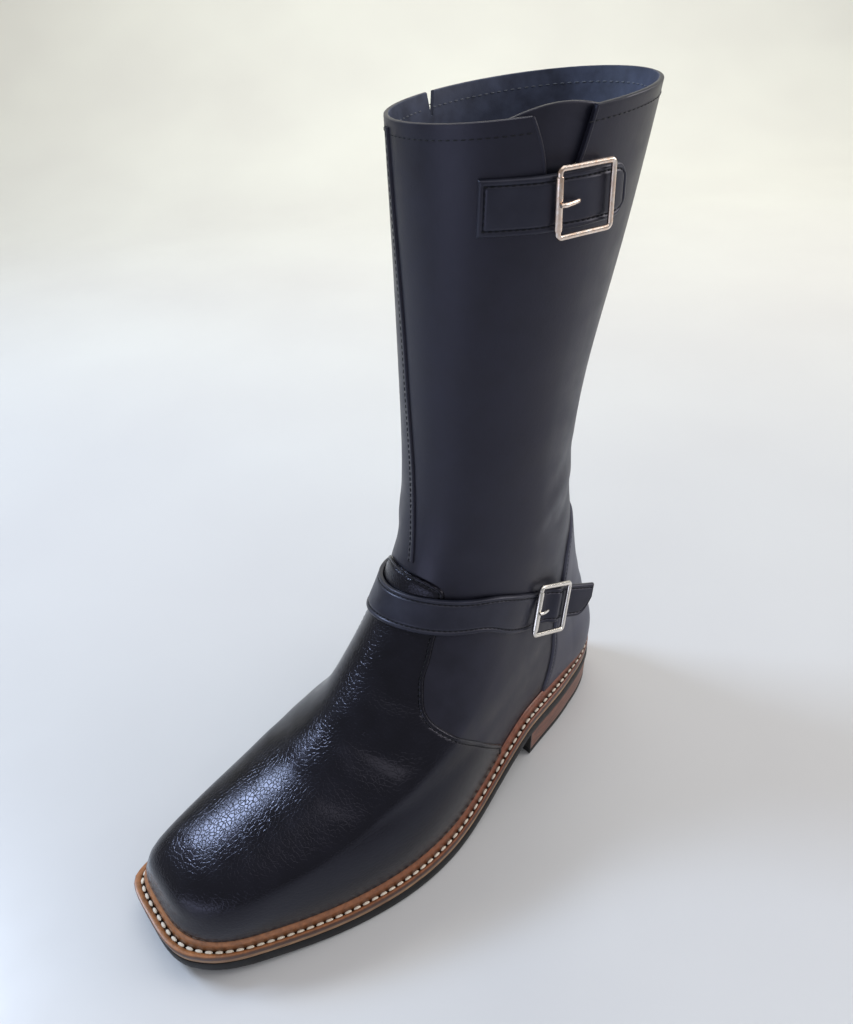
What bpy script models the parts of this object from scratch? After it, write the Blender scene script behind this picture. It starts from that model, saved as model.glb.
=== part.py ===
"""Engineer boot for the left foot, at its real size.

The origin is the centre of the heel's flat bottom. +Z is up, -Y points to the toe and +X to the outer side of the
foot. Sizes are in millimetres and become metres where a mesh is made. Angles run round the leg in plan: 0 is the
front, 90 degrees the outer side, 180 the back and -90 the inner side.
"""

import bmesh
import bpy
import numpy as np

MM = 0.001

# Sole layers, as heights above the ground line of the sole
OUTSOLE_TOP = 6.5
MIDSOLE_BOTTOM = 6.8
MIDSOLE_TOP = 9.5
WELT_BOTTOM = 9.8
INSOLE_TOP = 13.3
GAP = 0.3
OUTSOLE_ROUNDING = 1.0
OUTSOLE_TOP_ROUNDING = 0.8
MIDSOLE_INSET = 0.6

# Ground line along the foot
TOE_SPRING = 8.0
TOE_TIP_Y = -268.0
TREAD_FRONT_Y = -185.0
TREAD_BACK_Y = -125.0
HEEL_BREAST_Y = -43.5
ARCH_END_Y = -45.0
HEEL_HEIGHT = 19.0
TOP_LIFT_HEIGHT = 4.0

# Leather
UPPER_WALL = 2.2
OVERLAY = 1.2
STRAP = 2.2
GUSSET_WALL = 1.6
FACET_ROOM = 0.25

# How finely the upper is cut into facets, and the levels that the overlays cover
AROUND = 44
OVERLAY_LEVELS = (1, 12)
LEVELS = (0, 0.5, 1, 1.5, 2, 2.5, 3, 3.5, 4, 4.5, 5, 6, 7, 8, 9, 9.5, 10, 10.5, 11, 11.5, 12, 12.5, 13, 14, 14.75,
          15.5, 16)

# Sections of the last and the shaft from the welt to the collar, one row each: the front and back ends of the
# section, how long and how blunt its two ends are, its half widths at four stations, how far it leans outwards,
# and how much slimmer the toe's inner side is
COLUMNS = (
    "y_front", "z_front", "y_back", "z_back", "nose", "blunt", "heel_len", "heel_blunt",
    "toe", "ball", "waist", "heel", "side", "slim",
)
SECTIONS = {
    "rim": (-257.5, 16.1, 42, 28.8, 32, 3.2, 40, 2.2, 35, 48.5, 36.5, 29, 0, 0),
    "feather": (-259.5, 27.5, 43.5, 38.5, 33, 3.2, 42, 2.2, 36.5, 50, 38, 30.5, 0, 3),
    "toe wall": (-257.5, 36.5, 44, 49, 35, 3.1, 44, 2.2, 37, 51, 39, 31.5, 0, 6.5),
    "toe edge": (-253.5, 46, 43, 58, 38, 2.8, 46, 2.2, 35.5, 50.5, 39.5, 31.5, 0, 8),
    "toe top": (-240, 54.1, 40, 66, 46, 2.5, 47, 2.2, 33.5, 48.5, 39.5, 31, 0, 6.5),
    "toe box": (-223, 60, 38, 73, 58, 2.3, 47, 2.2, 31, 46, 39, 30.5, 0, 5),
    "front vamp": (-203, 66.5, 36, 80, 70, 2.15, 47, 2.2, 30, 44.5, 39, 30, 0, 2.5),
    "ball": (-181, 75, 34, 87, 80, 2.05, 46, 2.2, 30, 43, 39, 30.5, -0.5, 0.5),
    "back vamp": (-161.5, 85, 32, 94, 82, 2.0, 46, 2.2, 29.5, 41, 38.5, 31, -1.5, 0),
    "instep": (-141.5, 100, 30, 102, 80, 2.0, 46, 2.2, 29.5, 40, 38, 32, -3, 0),
    "throat": (-121, 117, 27.5, 112, 72, 2.0, 46, 2.1, 30, 39.5, 38, 33.5, -4.5, 0),
    "ankle": (-101.7, 138, 23.5, 128, 65, 2.0, 50, 2.1, 32.5, 39.5, 39, 36, -5.5, 0),
    "low leg": (-88, 165, 18.5, 155, 57, 2.05, 51, 2.1, 35, 39.5, 39.5, 38, -6, 0),
    "leg": (-80.5, 200, 16.5, 195, 52, 2.1, 50, 2.1, 36.5, 39.5, 39.5, 39, -6.5, 0),
    "low calf": (-77, 245, 23.5, 245, 53, 2.1, 52, 2.1, 39.5, 42, 42, 42, -6.5, 0),
    "calf": (-75.5, 300, 38, 302, 58, 2.1, 58, 2.1, 43.5, 46, 46, 46, -4.5, 0),
    "collar": (-75, 357.5, 53, 364, 65, 2.05, 65, 2.05, 47, 50, 50, 50, -3, 0),
}
SOLE = dict(
    y_front=-268, z_front=0, y_back=48, z_back=0, nose=36, blunt=3.1, heel_len=68, heel_blunt=2.1,
    toe=41.3, ball=54.7, waist=43, heel=36, side=0, slim=0,
)

# The foot's own curve: how far the centre line swings towards the outer side along its length
CENTRE_LINE = ((-268, -12.5), (-200, -2), (-140, 3.7), (-75, 4), (0, -2), (45, -3.2))
WIDTH_STATIONS = (-235.0, -140.0, -75.0, -10.0)
INNER_BLUNT = 0.5
INNER_ARCH = 7.0
INNER_ARCH_Y = -88.0
INNER_ARCH_LENGTH = 38.0
INNER_ARCH_Z = 60.0
INNER_ROUND_Z = 30.0
FADE_SPAN = 40.0
SLIM_Y = -215.0
SLIM_LENGTH = 60.0
SHAFT_START_Z = 75.0

# Welt profile from the upper to the sole's edge: share of the way out, height above the ground line
WELT_PROFILE = (
    (0.98, 9.8), (0.98, 12.4), (0.86, 13.2), (0.68, 13.0), (0.58, 12.0), (0.5, 12.4), (0.47, 15.4), (0.36, 18.2),
    (0.2, 19.3),
)
WELT_INNER_LEVELS = (0.93, 0.5, 0)
WELT_ROOM = 0.35
INSOLE_ROOM = 0.4
INSOLE_TOP_LEVEL = 0.35

# Side outlines that cut the overlays and the notch, as y and z
VAMP_OUTLINE = (
    (-300, 0), (-70, 0), (-72.5, 38), (-93.3, 62.4), (-107.9, 78), (-114.3, 85.3), (-117.3, 90.4), (-117.6, 95.4),
    (-115.1, 101.4), (-111.4, 107.7), (-105.4, 114.4), (-98, 124), (-90.5, 134), (-87.6, 141), (-86.6, 145.5),
    (-88.2, 148.5), (-91.2, 151), (-94, 152.4), (-120, 158), (-300, 158),
)
COUNTER_OUTLINE = (
    (60, 20), (-27, 20), (-26.2, 42), (-20.4, 57.3), (-17.2, 68.8), (-16.4, 78.2), (-7.1, 115.5), (-5.8, 124),
    (-3.9, 133.8), (1.2, 142.3), (9, 149), (30, 151), (60, 151),
)
NOTCH_OUTLINE = (
    (-50.5, 372), (-49.6, 358.8), (-45, 342.6), (-42.5, 330), (-39, 327.5), (-35, 330), (-30.4, 341), (-24.3, 360.1),
    (-23.2, 372),
)
ZIP_MOUTH_OUTLINE = ((-29, 372), (-22.6, 346), (-21.4, 346), (-15, 372))

# Ankle strap on the boot: angle, top and bottom edge, distance of its inner face from the upper
ANKLE_STRAP_COLUMNS = ("angle", "z_top", "z_bottom", "lift")
ANKLE_STRAP = (
    (-67.5, 130.5, 113.5, 0.5),
    (-52.5, 134.5, 117.5, 1.5),
    (-30, 138.5, 122.5, 2.0),
    (0, 142, 127, 2.0),
    (30, 142.5, 126.5, 2.0),
    (52.5, 140, 123.5, 1.5),
    (67.5, 137, 119.5, 0.7),
    (82.5, 130.8, 110.8, 0.5),
    (99, 122.2, 102.4, 0.3),
)
ANKLE_STRAP_STEPS = (-8, 12)
# Its free end, from the buckle's centre and in the buckle's own axes: place along, height of the outer face, edges
ANKLE_STRAP_END = (
    (0.5, -1.6, 11.2, -9.2),
    (5.9, 0.3, 11.2, -9.2),
    (9.5, -1.1, 11.2, -9.1),
    (13, -1.9, 11.2, -9.0),
    (22, -0.6, 11.2, -8.6),
    (30.5, 0.9, 11.2, -6.6),
    (36.5, 1.8, 11.2, 1.5),
)

# Top strap: angle on the boot, then the outer face of its free end, x and y
TOP_STRAP_Z = (318.4, 339.5)
TOP_STRAP = ((33.5, 0.5), (41.5, 0.5), (49.5, 0.7), (57, 1.3))
TOP_STRAP_END = (
    (44.4, -36.5, 0.0), (46.6, -28.5, 0.0), (47.4, -19, 0.0), (47.6, -11.5, 0.0), (47.1, -7, 2.2), (46.6, -4, 7.0),
)

# Buckles: centre, the frame's own axes from its outward turn, its lean and its roll, size, wire
ANKLE_BUCKLE = dict(centre=(36.9, -26.0, 109.4), turn=4.0, lean=9.0, roll=-24.0, width=28.6, height=30.6, wire=2.7)
TOP_BUCKLE = dict(centre=(47.4, -30.4, 329.0), turn=-10.5, lean=0.0, roll=0.0, width=28.3, height=27.2, wire=2.3)
BUCKLE_CORNER = 3.0
ANKLE_PRONG = ((37.1, -29.5, 111.0), (39.5, -39.2, 115.4))
TOP_PRONG = ((46.9, -33.2, 329.2), (47.8, -45.2, 329.2))
PRONG_RADIUS = 1.05
PRONG_BOW = 0.8

# Raised seam up the front of the shaft: height, place across
FRONT_SEAM = ((157, -4), (181, -8.5), (210, -12), (237, -14.6), (264, -15.8), (289, -17), (325, -19.3), (355, -20.2))
FRONT_SEAM_WIDTH = 4.6
FRONT_SEAM_HEIGHT = 1.1
FRONT_SEAM_EDGE = 0.4

# Gusset behind the notch
GUSSET_ANGLES = (44, 88)
GUSSET_Z = (312, 356)

# Zip on the inner side
ZIP_LINE = ((96, -31), (150, -29), (220, -26), (300, -23.5), (344, -22))
ZIP_WIDTH = 9.0
ZIP_THICKNESS = 1.4
SLIDER_Z = 336.0
SLIDER_LENGTH = 11.0
SLIDER_WIDTH = 8.0
SLIDER_BODY = 2.4
BAIL_WIDTH = 2.2
BAIL_LENGTH = 8.6
BAIL_ROOM = 2.3
BAIL_BAR = 1.2
BAIL_OVERLAP = 0.2
PULL_BAR_RADIUS = 0.75
PULL_WIDTH = 6.4
PULL_THICKNESS = 1.3
PULL_SLOT_WIDTH = 3.2
PULL_SLOT = 6.2
PULL_LENGTH = 24.0
PULL_ARM_TOP = 0.75
PULL_BAR_INSET = 0.4

# Heel block, set in from the sole's edge
HEEL_INSET_TOP = 0.5
HEEL_INSET_BOTTOM = 1.3
TOP_LIFT_INSET = 1.3
TOP_LIFT_ROUNDING = 0.8

COLOURS = {
    "black leather": ((0.030, 0.034, 0.045, 1), 0.30, 0.0),
    "vamp leather": ((0.020, 0.022, 0.030, 1), 0.24, 0.0),
    "counter leather": ((0.060, 0.064, 0.078, 1), 0.36, 0.0),
    "lining leather": ((0.045, 0.048, 0.058, 1), 0.55, 0.0),
    "tan insole": ((0.30, 0.20, 0.12, 1), 0.60, 0.0),
    "brown welt": ((0.24, 0.085, 0.045, 1), 0.50, 0.0),
    "pale midsole": ((0.42, 0.28, 0.18, 1), 0.60, 0.0),
    "stacked heel": ((0.20, 0.075, 0.040, 1), 0.45, 0.0),
    "black rubber": ((0.016, 0.016, 0.017, 1), 0.62, 0.0),
    "bright buckle": ((0.82, 0.80, 0.76, 1), 0.18, 1.0),
    "pale gold buckle": ((0.80, 0.68, 0.58, 1), 0.20, 1.0),
    "zip metal": ((0.55, 0.55, 0.56, 1), 0.28, 1.0),
}


def natural_spline(knots, values):
    """A function through the values, smooth to the second derivative and straight at its ends."""
    x = np.asarray(knots, float)
    y = np.asarray(values, float)
    count = len(x)
    step = np.diff(x)
    system = np.eye(count)
    right = np.zeros(count)
    for i in range(1, count - 1):
        system[i, i - 1:i + 2] = step[i - 1], 2 * (step[i - 1] + step[i]), step[i]
        right[i] = 6 * ((y[i + 1] - y[i]) / step[i] - (y[i] - y[i - 1]) / step[i - 1])
    bend = np.linalg.solve(system, right)

    def at(t):
        t = np.asarray(t, float)
        i = np.clip(np.searchsorted(x, t) - 1, 0, count - 2)
        after = t - x[i]
        before = x[i + 1] - t
        cubic = (bend[i] * before ** 3 + bend[i + 1] * after ** 3) / (6 * step[i])
        left = (y[i] / step[i] - bend[i] * step[i] / 6) * before
        return cubic + left + (y[i + 1] / step[i] - bend[i + 1] * step[i] / 6) * after

    return at


def eased(t):
    t = np.clip(t, 0, 1)
    return t * t * (3 - 2 * t)


def ground(y):
    """Height of the outsole's underside: flat tread, toe spring in front, arch up to the heel breast behind."""
    y = np.asarray(y, float)
    toe = np.clip((TREAD_FRONT_Y - y) / (TREAD_FRONT_Y - TOE_TIP_Y), 0, None) ** 1.8 * TOE_SPRING
    arch = np.clip((y - TREAD_BACK_Y) / (ARCH_END_Y - TREAD_BACK_Y), 0, 1)
    return toe + HEEL_HEIGHT * (eased(arch) + arch ** 1.6) / 2


centre_of = natural_spline(*zip(*CENTRE_LINE))
section_of = {
    name: natural_spline(range(len(SECTIONS)), [row[i] for row in SECTIONS.values()]) for i, name in enumerate(COLUMNS)
}


def foot_share(size):
    """1 on the foot, fading to 0 up the shaft."""
    return 1 - float(eased((size["z_front"] - SHAFT_START_Z) / SHAFT_START_Z))


def half_width(size, y, side):
    stations = [size[name] for name in ("toe", "ball", "waist", "heel")]
    wide = natural_spline(WIDTH_STATIONS, stations)(np.clip(y, WIDTH_STATIONS[0] - 25, WIDTH_STATIONS[-1] + 15))
    foot = 1 - float(eased((size["z_front"] - INNER_ARCH_Z) / FADE_SPAN))
    inner = side < 0
    wide = wide - inner * foot * INNER_ARCH * np.exp(-((y - INNER_ARCH_Y) / INNER_ARCH_LENGTH) ** 2)
    wide = wide - inner * size["slim"] * np.exp(-((y - SLIM_Y) / SLIM_LENGTH) ** 2)
    full = 1 - float(eased((size["z_front"] - INNER_ROUND_Z) / FADE_SPAN))
    blunt = size["blunt"] * (1 + INNER_BLUNT * full * inner)
    nose = np.clip(1 - (y - size["y_front"]) / size["nose"], 0, 1)
    tail = np.clip(1 - (size["y_back"] - y) / size["heel_len"], 0, 1)
    ends = (1 - nose ** blunt) ** (1 / blunt) * (1 - tail ** size["heel_blunt"]) ** (1 / size["heel_blunt"])
    return wide * ends


def centre_x(size, y):
    return centre_of(np.clip(y, CENTRE_LINE[0][0], CENTRE_LINE[-1][0])) * foot_share(size) + size["side"]


def plan(size, theta):
    """Outline of one section from above, as x and y."""
    theta = np.asarray(theta, float)
    side = np.where(np.sin(theta) >= 0, 1.0, -1.0)
    y = size["y_front"] + (size["y_back"] - size["y_front"]) * (1 - np.cos(theta)) / 2
    return centre_x(size, y) + side * half_width(size, y, side), y


def section(level):
    return {name: float(at(level)) for name, at in section_of.items()}


def upper_points(level, theta):
    """Points of the upper's outer face at a level, 0 at the rim and 16 at the collar."""
    size = section(level)
    x, y = plan(size, theta)
    along = (1 - np.cos(np.asarray(theta, float))) / 2
    follow = np.clip(1 - (size["z_back"] - 29) / 75, 0, 1)
    front, back = ground(size["y_front"]), ground(size["y_back"])
    level_z = size["z_front"] + (size["z_back"] - size["z_front"]) * along
    return np.stack([x, y, level_z + follow * (ground(y) - front - (back - front) * along)], -1)


def upper_normals(level, theta):
    """Outward directions of the upper's outer face."""
    turn, climb = 0.02, 0.04
    low, high = max(level - climb, 0), min(level + climb, len(SECTIONS) - 1)
    across = upper_points(level, theta + turn) - upper_points(level, theta - turn)
    upward = upper_points(high, theta) - upper_points(low, theta)
    out = np.cross(across, upward)
    return out / np.linalg.norm(out, axis=-1, keepdims=True)


def lifted(level, theta, lift):
    """Points at a distance from the upper's outer face, inwards where it is negative."""
    theta = np.asarray(theta, float)
    return upper_points(level, theta) + lift * upper_normals(level, theta)


def level_at(theta, z):
    """Level at which the outer face has this height."""
    low, high = 0.0, len(SECTIONS) - 1.0
    for _ in range(24):
        middle = (low + high) / 2
        if upper_points(middle, theta)[2] < z:
            low = middle
        else:
            high = middle
    return low


def angle_at(level, y, side):
    """Angle at which a level's outline has this y."""
    size = section(level)
    along = np.clip((y - size["y_front"]) / (size["y_back"] - size["y_front"]), 0, 1)
    return side * float(np.arccos(1 - 2 * along))


def on_upper(angle, z, lift):
    theta = np.radians(angle)
    return lifted(level_at(theta, z), theta, lift)


def on_side(y, z, side, lift):
    """Point beside the outer face at this y and z, on the outer side (1) or the inner side (-1)."""
    low, high = 0.0, len(SECTIONS) - 1.0
    for _ in range(24):
        middle = (low + high) / 2
        if upper_points(middle, angle_at(middle, y, side))[2] < z:
            low = middle
        else:
            high = middle
    return lifted(low, np.array(angle_at(low, y, side)), lift)


ANGLES = np.arange(AROUND) * 2 * np.pi / AROUND
SOLE_LENGTH = SOLE["y_back"] - SOLE["y_front"]
BREAST_ANGLE = float(np.arccos(1 - 2 * (ARCH_END_Y + 0.5 - SOLE["y_front"]) / SOLE_LENGTH))
SOLE_ANGLES = np.sort(np.append(ANGLES, [BREAST_ANGLE, 2 * np.pi - BREAST_ANGLE]))


def sole_loop(inset, height, angles=SOLE_ANGLES):
    """The sole's outline at a height above the ground line, drawn in from its edge."""
    x, y = plan(SOLE, angles)
    edge = np.stack([x, y], -1)
    along = np.roll(edge, -1, 0) - np.roll(edge, 1, 0)
    inward = np.stack([-along[:, 1], along[:, 0]], -1)
    edge = edge + inset * inward / np.linalg.norm(inward, axis=1, keepdims=True)
    return np.column_stack([edge, ground(edge[:, 1]) + height])


def heel_loop(inset, z):
    """The heel block's outline: a straight breast and the sole's edge behind it."""
    quarter = np.linspace(0, np.pi / 2, AROUND // 2)
    back = SOLE["y_back"] - inset
    y = HEEL_BREAST_Y + (back - HEEL_BREAST_Y) * np.sin(quarter)
    shape = dict(SOLE, y_back=back)
    points = [(centre_x(SOLE, HEEL_BREAST_Y), HEEL_BREAST_Y)]
    points += [(centre_x(shape, v) + half_width(shape, v, 1) - inset * np.cos(q), v) for q, v in zip(quarter, y)]
    points += [
        (centre_x(shape, v) - half_width(shape, v, -1) + inset * np.cos(q), v)
        for q, v in list(zip(quarter, y))[-2::-1]
    ]
    return np.array([(px, py, z) for px, py in points])


def frame_axes(turn, lean, roll):
    """Outward, sideways (to the back) and up axes of a flat piece on the outer side, from angles in degrees."""
    turn, lean, roll = np.radians([turn, lean, roll])
    out = np.array([np.cos(turn) * np.cos(lean), np.sin(turn) * np.cos(lean), np.sin(lean)])
    level = np.array([-np.sin(turn), np.cos(turn), 0])
    upright = np.cross(out, level)
    side = level * np.cos(roll) + upright * np.sin(roll)
    return out, side, upright * np.cos(roll) - level * np.sin(roll)


def clear_scene():
    for item in list(bpy.data.objects):
        bpy.data.objects.remove(item, do_unlink=True)


def new_collection(name):
    made = bpy.data.collections.new(name)
    bpy.context.scene.collection.children.link(made)
    return made


def material(name):
    found = bpy.data.materials.get(name)
    if found:
        return found
    colour, roughness, metallic = COLOURS[name]
    made = bpy.data.materials.new(name)
    made.use_nodes = True
    shader = made.node_tree.nodes["Principled BSDF"]
    shader.inputs["Base Color"].default_value = colour
    shader.inputs["Roughness"].default_value = roughness
    shader.inputs["Metallic"].default_value = metallic
    made.diffuse_color = colour
    return made


def mesh_object(name, points, faces, finish, into, outward=True):
    """A mesh object from points in millimetres; a closed one has its faces turned outwards."""
    mesh = bpy.data.meshes.new(name)
    mesh.from_pydata([tuple(MM * float(value) for value in point) for point in points], [], faces)
    work = bmesh.new()
    work.from_mesh(mesh)
    bmesh.ops.remove_doubles(work, verts=work.verts, dist=1e-7)
    if outward:
        bmesh.ops.recalc_face_normals(work, faces=work.faces)
    bmesh.ops.triangulate(work, faces=work.faces, quad_method="FIXED")
    work.to_mesh(mesh)
    work.free()
    made = bpy.data.objects.new(name, mesh)
    into.objects.link(made)
    if finish:
        mesh.materials.append(material(finish))
        mesh.shade_smooth()
        mesh.set_sharp_from_angle(angle=np.radians(35))
    return made


def ring_faces(rows, around, closed=False):
    """Quads of a grid of rings, one above the other, facing out; closed also joins the last ring to the first."""
    faces = []
    for row in range(rows if closed else rows - 1):
        low, high = row * around, (row + 1) % rows * around
        for i in range(around):
            j = (i + 1) % around
            faces.append((low + i, low + j, high + j, high + i))
    return faces


def cap_faces(start, around):
    """Quads across a ring, between its outer and its inner side."""
    faces = [(start, start + 1, start + around - 1)]
    for i in range(1, around // 2 - 1):
        faces.append((start + i, start + i + 1, start + around - i - 1, start + around - i))
    half = start + around // 2
    return faces + [(half - 1, half, half + 1)]


def capped_loft(name, loops, finish, into):
    """A solid through loops of equal count, closed at both ends."""
    around = len(loops[0])
    faces = ring_faces(len(loops), around) + cap_faces(0, around) + cap_faces((len(loops) - 1) * around, around)
    return mesh_object(name, np.concatenate(loops), faces, finish, into)


def ring_loft(name, loops, finish, into):
    """A closed ring whose cross-section runs through the loops and back to the first."""
    faces = ring_faces(len(loops), len(loops[0]), closed=True)
    return mesh_object(name, np.concatenate(loops), faces, finish, into)


def ribbon(name, stations, finish, into):
    """A strip whose stations each hold the points of one closed cross-section."""
    count = len(stations[0])
    faces = []
    for row in range(len(stations) - 1):
        for i in range(count):
            j = (i + 1) % count
            faces.append((row * count + i, row * count + j, (row + 1) * count + j, (row + 1) * count + i))
    faces.append(tuple(range(count)))
    faces.append(tuple((len(stations) - 1) * count + i for i in range(count)))
    return mesh_object(name, np.concatenate(stations), faces, finish, into)


def shell(name, levels, lift, wall, finish, into):
    """A wall between two forms of the upper: from a lift outwards, or inwards where the wall is negative."""
    points = np.concatenate([lifted(level, ANGLES, lift) for level in levels])
    made = mesh_object(name, points, ring_faces(len(levels), AROUND), finish, into, outward=False)
    solid = made.modifiers.new("wall", "SOLIDIFY")
    solid.thickness = abs(wall) * MM
    solid.offset = 1 if wall > 0 else -1
    return made


def prism(name, outline, x_from, x_to, into):
    """A cutter with this side outline in y and z, from one x to another."""
    count = len(outline)
    points = [(x, y, z) for x in (x_from, x_to) for y, z in outline]
    faces = [tuple(range(count)), tuple(range(count, 2 * count))]
    faces += [(i, (i + 1) % count, count + (i + 1) % count, count + i) for i in range(count)]
    made = mesh_object(name, points, faces, None, into)
    made.hide_render = True
    made.display_type = "WIRE"
    return made


def cut(target, cutter, operation):
    modifier = target.modifiers.new(cutter.name, "BOOLEAN")
    modifier.operation = operation
    modifier.object = cutter


def box_points(centre, axes, sizes):
    corners = [(i, j, k) for i in (-0.5, 0.5) for j in (-0.5, 0.5) for k in (-0.5, 0.5)]
    axes = np.array(axes)
    return [np.array(centre) + (np.array(corner) * sizes) @ axes for corner in corners]


BOX_FACES = [(0, 1, 3, 2), (4, 5, 7, 6), (0, 1, 5, 4), (2, 3, 7, 6), (0, 2, 6, 4), (1, 3, 7, 5)]


def box(name, centre, axes, sizes, finish, into):
    return mesh_object(name, box_points(centre, axes, sizes), BOX_FACES, finish, into)


def tube(name, path, radius, finish, into, cyclic=False, sides=2):
    """A round wire along points in millimetres, made a mesh so that it can be joined."""
    curve = bpy.data.curves.new(name, "CURVE")
    curve.dimensions = "3D"
    curve.bevel_depth = radius * MM
    curve.bevel_resolution = sides
    curve.use_fill_caps = not cyclic
    line = curve.splines.new("POLY")
    line.points.add(len(path) - 1)
    for point, place in zip(line.points, path):
        point.co = (*(MM * float(value) for value in place), 1)
    line.use_cyclic_u = cyclic
    guide = bpy.data.objects.new(name + " path", curve)
    bpy.context.scene.collection.objects.link(guide)
    mesh = bpy.data.meshes.new_from_object(guide.evaluated_get(bpy.context.evaluated_depsgraph_get()))
    bpy.data.objects.remove(guide)
    work = bmesh.new()
    work.from_mesh(mesh)
    bmesh.ops.remove_doubles(work, verts=work.verts, dist=1e-6)
    bmesh.ops.recalc_face_normals(work, faces=work.faces)
    work.to_mesh(mesh)
    work.free()
    mesh.name = name
    made = bpy.data.objects.new(name, mesh)
    into.objects.link(made)
    mesh.materials.clear()
    mesh.materials.append(material(finish))
    mesh.shade_smooth()
    mesh.set_sharp_from_angle(angle=np.radians(40))
    return made


def join_solids(first, others):
    """Joins helper solids to the first by union and hides them."""
    for other in others:
        other.hide_render = True
        other.display_type = "WIRE"
        cut(first, other, "UNION")
    return first


def make_sole(parts):
    capped_loft(
        "outsole",
        [
            sole_loop(OUTSOLE_ROUNDING, 0), sole_loop(0, OUTSOLE_ROUNDING),
            sole_loop(0, OUTSOLE_TOP - OUTSOLE_TOP_ROUNDING), sole_loop(OUTSOLE_TOP_ROUNDING, OUTSOLE_TOP),
        ],
        "black rubber", parts,
    )
    midsole = [sole_loop(MIDSOLE_INSET, height) for height in (MIDSOLE_BOTTOM, MIDSOLE_TOP)]
    capped_loft("midsole", midsole, "pale midsole", parts)
    seat = HEEL_HEIGHT - GAP
    capped_loft(
        "heel_stack",
        [heel_loop(HEEL_INSET_BOTTOM, TOP_LIFT_HEIGHT + GAP), heel_loop(HEEL_INSET_TOP, seat)],
        "stacked heel", parts,
    )
    capped_loft(
        "top_lift",
        [
            heel_loop(TOP_LIFT_INSET + TOP_LIFT_ROUNDING, 0), heel_loop(TOP_LIFT_INSET, TOP_LIFT_ROUNDING),
            heel_loop(TOP_LIFT_INSET, TOP_LIFT_HEIGHT),
        ],
        "black rubber", parts,
    )


def make_welt(parts):
    """Storm welt: flat edge, stitch groove and a rounded ridge against the upper."""
    inner = [lifted(level, ANGLES, WELT_ROOM) for level in WELT_INNER_LEVELS]
    edge = sole_loop(0, 0, ANGLES)[:, :2]
    foot = inner[0][:, :2]
    outer = []
    for share, height in WELT_PROFILE:
        place = foot + (edge - foot) * share
        outer.append(np.column_stack([place, ground(place[:, 1]) + height]))
    ring_loft("welt", outer + inner, "brown welt", parts)


def make_insole(parts):
    inside = -(UPPER_WALL + INSOLE_ROOM)
    loops = []
    for level, height in ((0, WELT_BOTTOM), (INSOLE_TOP_LEVEL, INSOLE_TOP)):
        place = lifted(level, ANGLES, inside)
        loops.append(np.column_stack([place[:, :2], ground(place[:, 1]) + height]))
    capped_loft("insole", loops, "tan insole", parts)


def make_upper(parts, cutters):
    upper = shell("upper", LEVELS, 0, -UPPER_WALL, "black leather", parts)
    cut(upper, prism("notch cutter", NOTCH_OUTLINE, 20, 90, cutters), "DIFFERENCE")
    cut(upper, prism("zip mouth cutter", ZIP_MOUTH_OUTLINE, -90, -30, cutters), "DIFFERENCE")
    lower = [level for level in LEVELS if OVERLAY_LEVELS[0] <= level <= OVERLAY_LEVELS[1]]
    vamp = shell("vamp", lower, GAP, OVERLAY, "vamp leather", parts)
    cut(vamp, prism("vamp cutter", VAMP_OUTLINE, -90, 90, cutters), "INTERSECT")
    counter = shell("heel_counter", lower, GAP, OVERLAY, "counter leather", parts)
    cut(counter, prism("counter cutter", COUNTER_OUTLINE, -90, 90, cutters), "INTERSECT")


def strip_station(top, bottom, middle, out, wall):
    """Cross-section of a strap from its outer face's edges and middle; its inner face lies a wall further in."""
    inner = [point - wall * out for point in (bottom, middle, top)]
    return np.array([top, middle, bottom] + inner)


def make_ankle_strap(parts):
    column = {
        name: natural_spline([row[0] for row in ANKLE_STRAP], [row[i] for row in ANKLE_STRAP])
        for i, name in enumerate(ANKLE_STRAP_COLUMNS)
    }
    stations = []
    first, last = ANKLE_STRAP_STEPS
    for step in range(first, last + 1):
        angle = step * 360 / AROUND
        high, low, lift = (float(column[name](angle)) for name in ANKLE_STRAP_COLUMNS[1:])
        inner = [on_upper(angle, z, lift) for z in (low, (low + high) / 2, high)]
        outer = [on_upper(angle, z, lift + STRAP) for z in (high, (low + high) / 2, low)]
        stations.append(np.array(outer + inner))
    out, side, up = frame_axes(ANKLE_BUCKLE["turn"], ANKLE_BUCKLE["lean"], ANKLE_BUCKLE["roll"])
    ends = []
    for along, height, top, bottom in ANKLE_STRAP_END:
        place = np.array(ANKLE_BUCKLE["centre"]) + along * side + height * out
        ends.append((place + top * up, place + bottom * up))
    for i, (top, bottom) in enumerate(ends):
        before = ends[max(i - 1, 0)]
        after = ends[min(i + 1, len(ends) - 1)]
        along = sum(after) - sum(before)
        out = np.cross(along, top - bottom)
        stations.append(strip_station(top, bottom, (top + bottom) / 2, out / np.linalg.norm(out), STRAP))
    ribbon("ankle_strap", stations, "black leather", parts)


def make_top_strap(parts):
    low, high = TOP_STRAP_Z
    heights = (high, (low + high) / 2, low)
    stations = []
    for angle, lift in TOP_STRAP:
        outer = [on_upper(angle, z, lift + STRAP) for z in heights]
        inner = [on_upper(angle, z, lift) for z in heights[::-1]]
        stations.append(np.array(outer + inner))
    for i, (x, y, narrow) in enumerate(TOP_STRAP_END):
        before = TOP_STRAP_END[max(i - 1, 0)]
        after = TOP_STRAP_END[min(i + 1, len(TOP_STRAP_END) - 1)]
        out = np.array([after[1] - before[1], before[0] - after[0], 0])
        top, bottom = np.array([x, y, high - narrow]), np.array([x, y, low + narrow])
        stations.append(strip_station(top, bottom, (top + bottom) / 2, out / np.linalg.norm(out), STRAP))
    ribbon("top_strap", stations, "black leather", parts)


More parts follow.
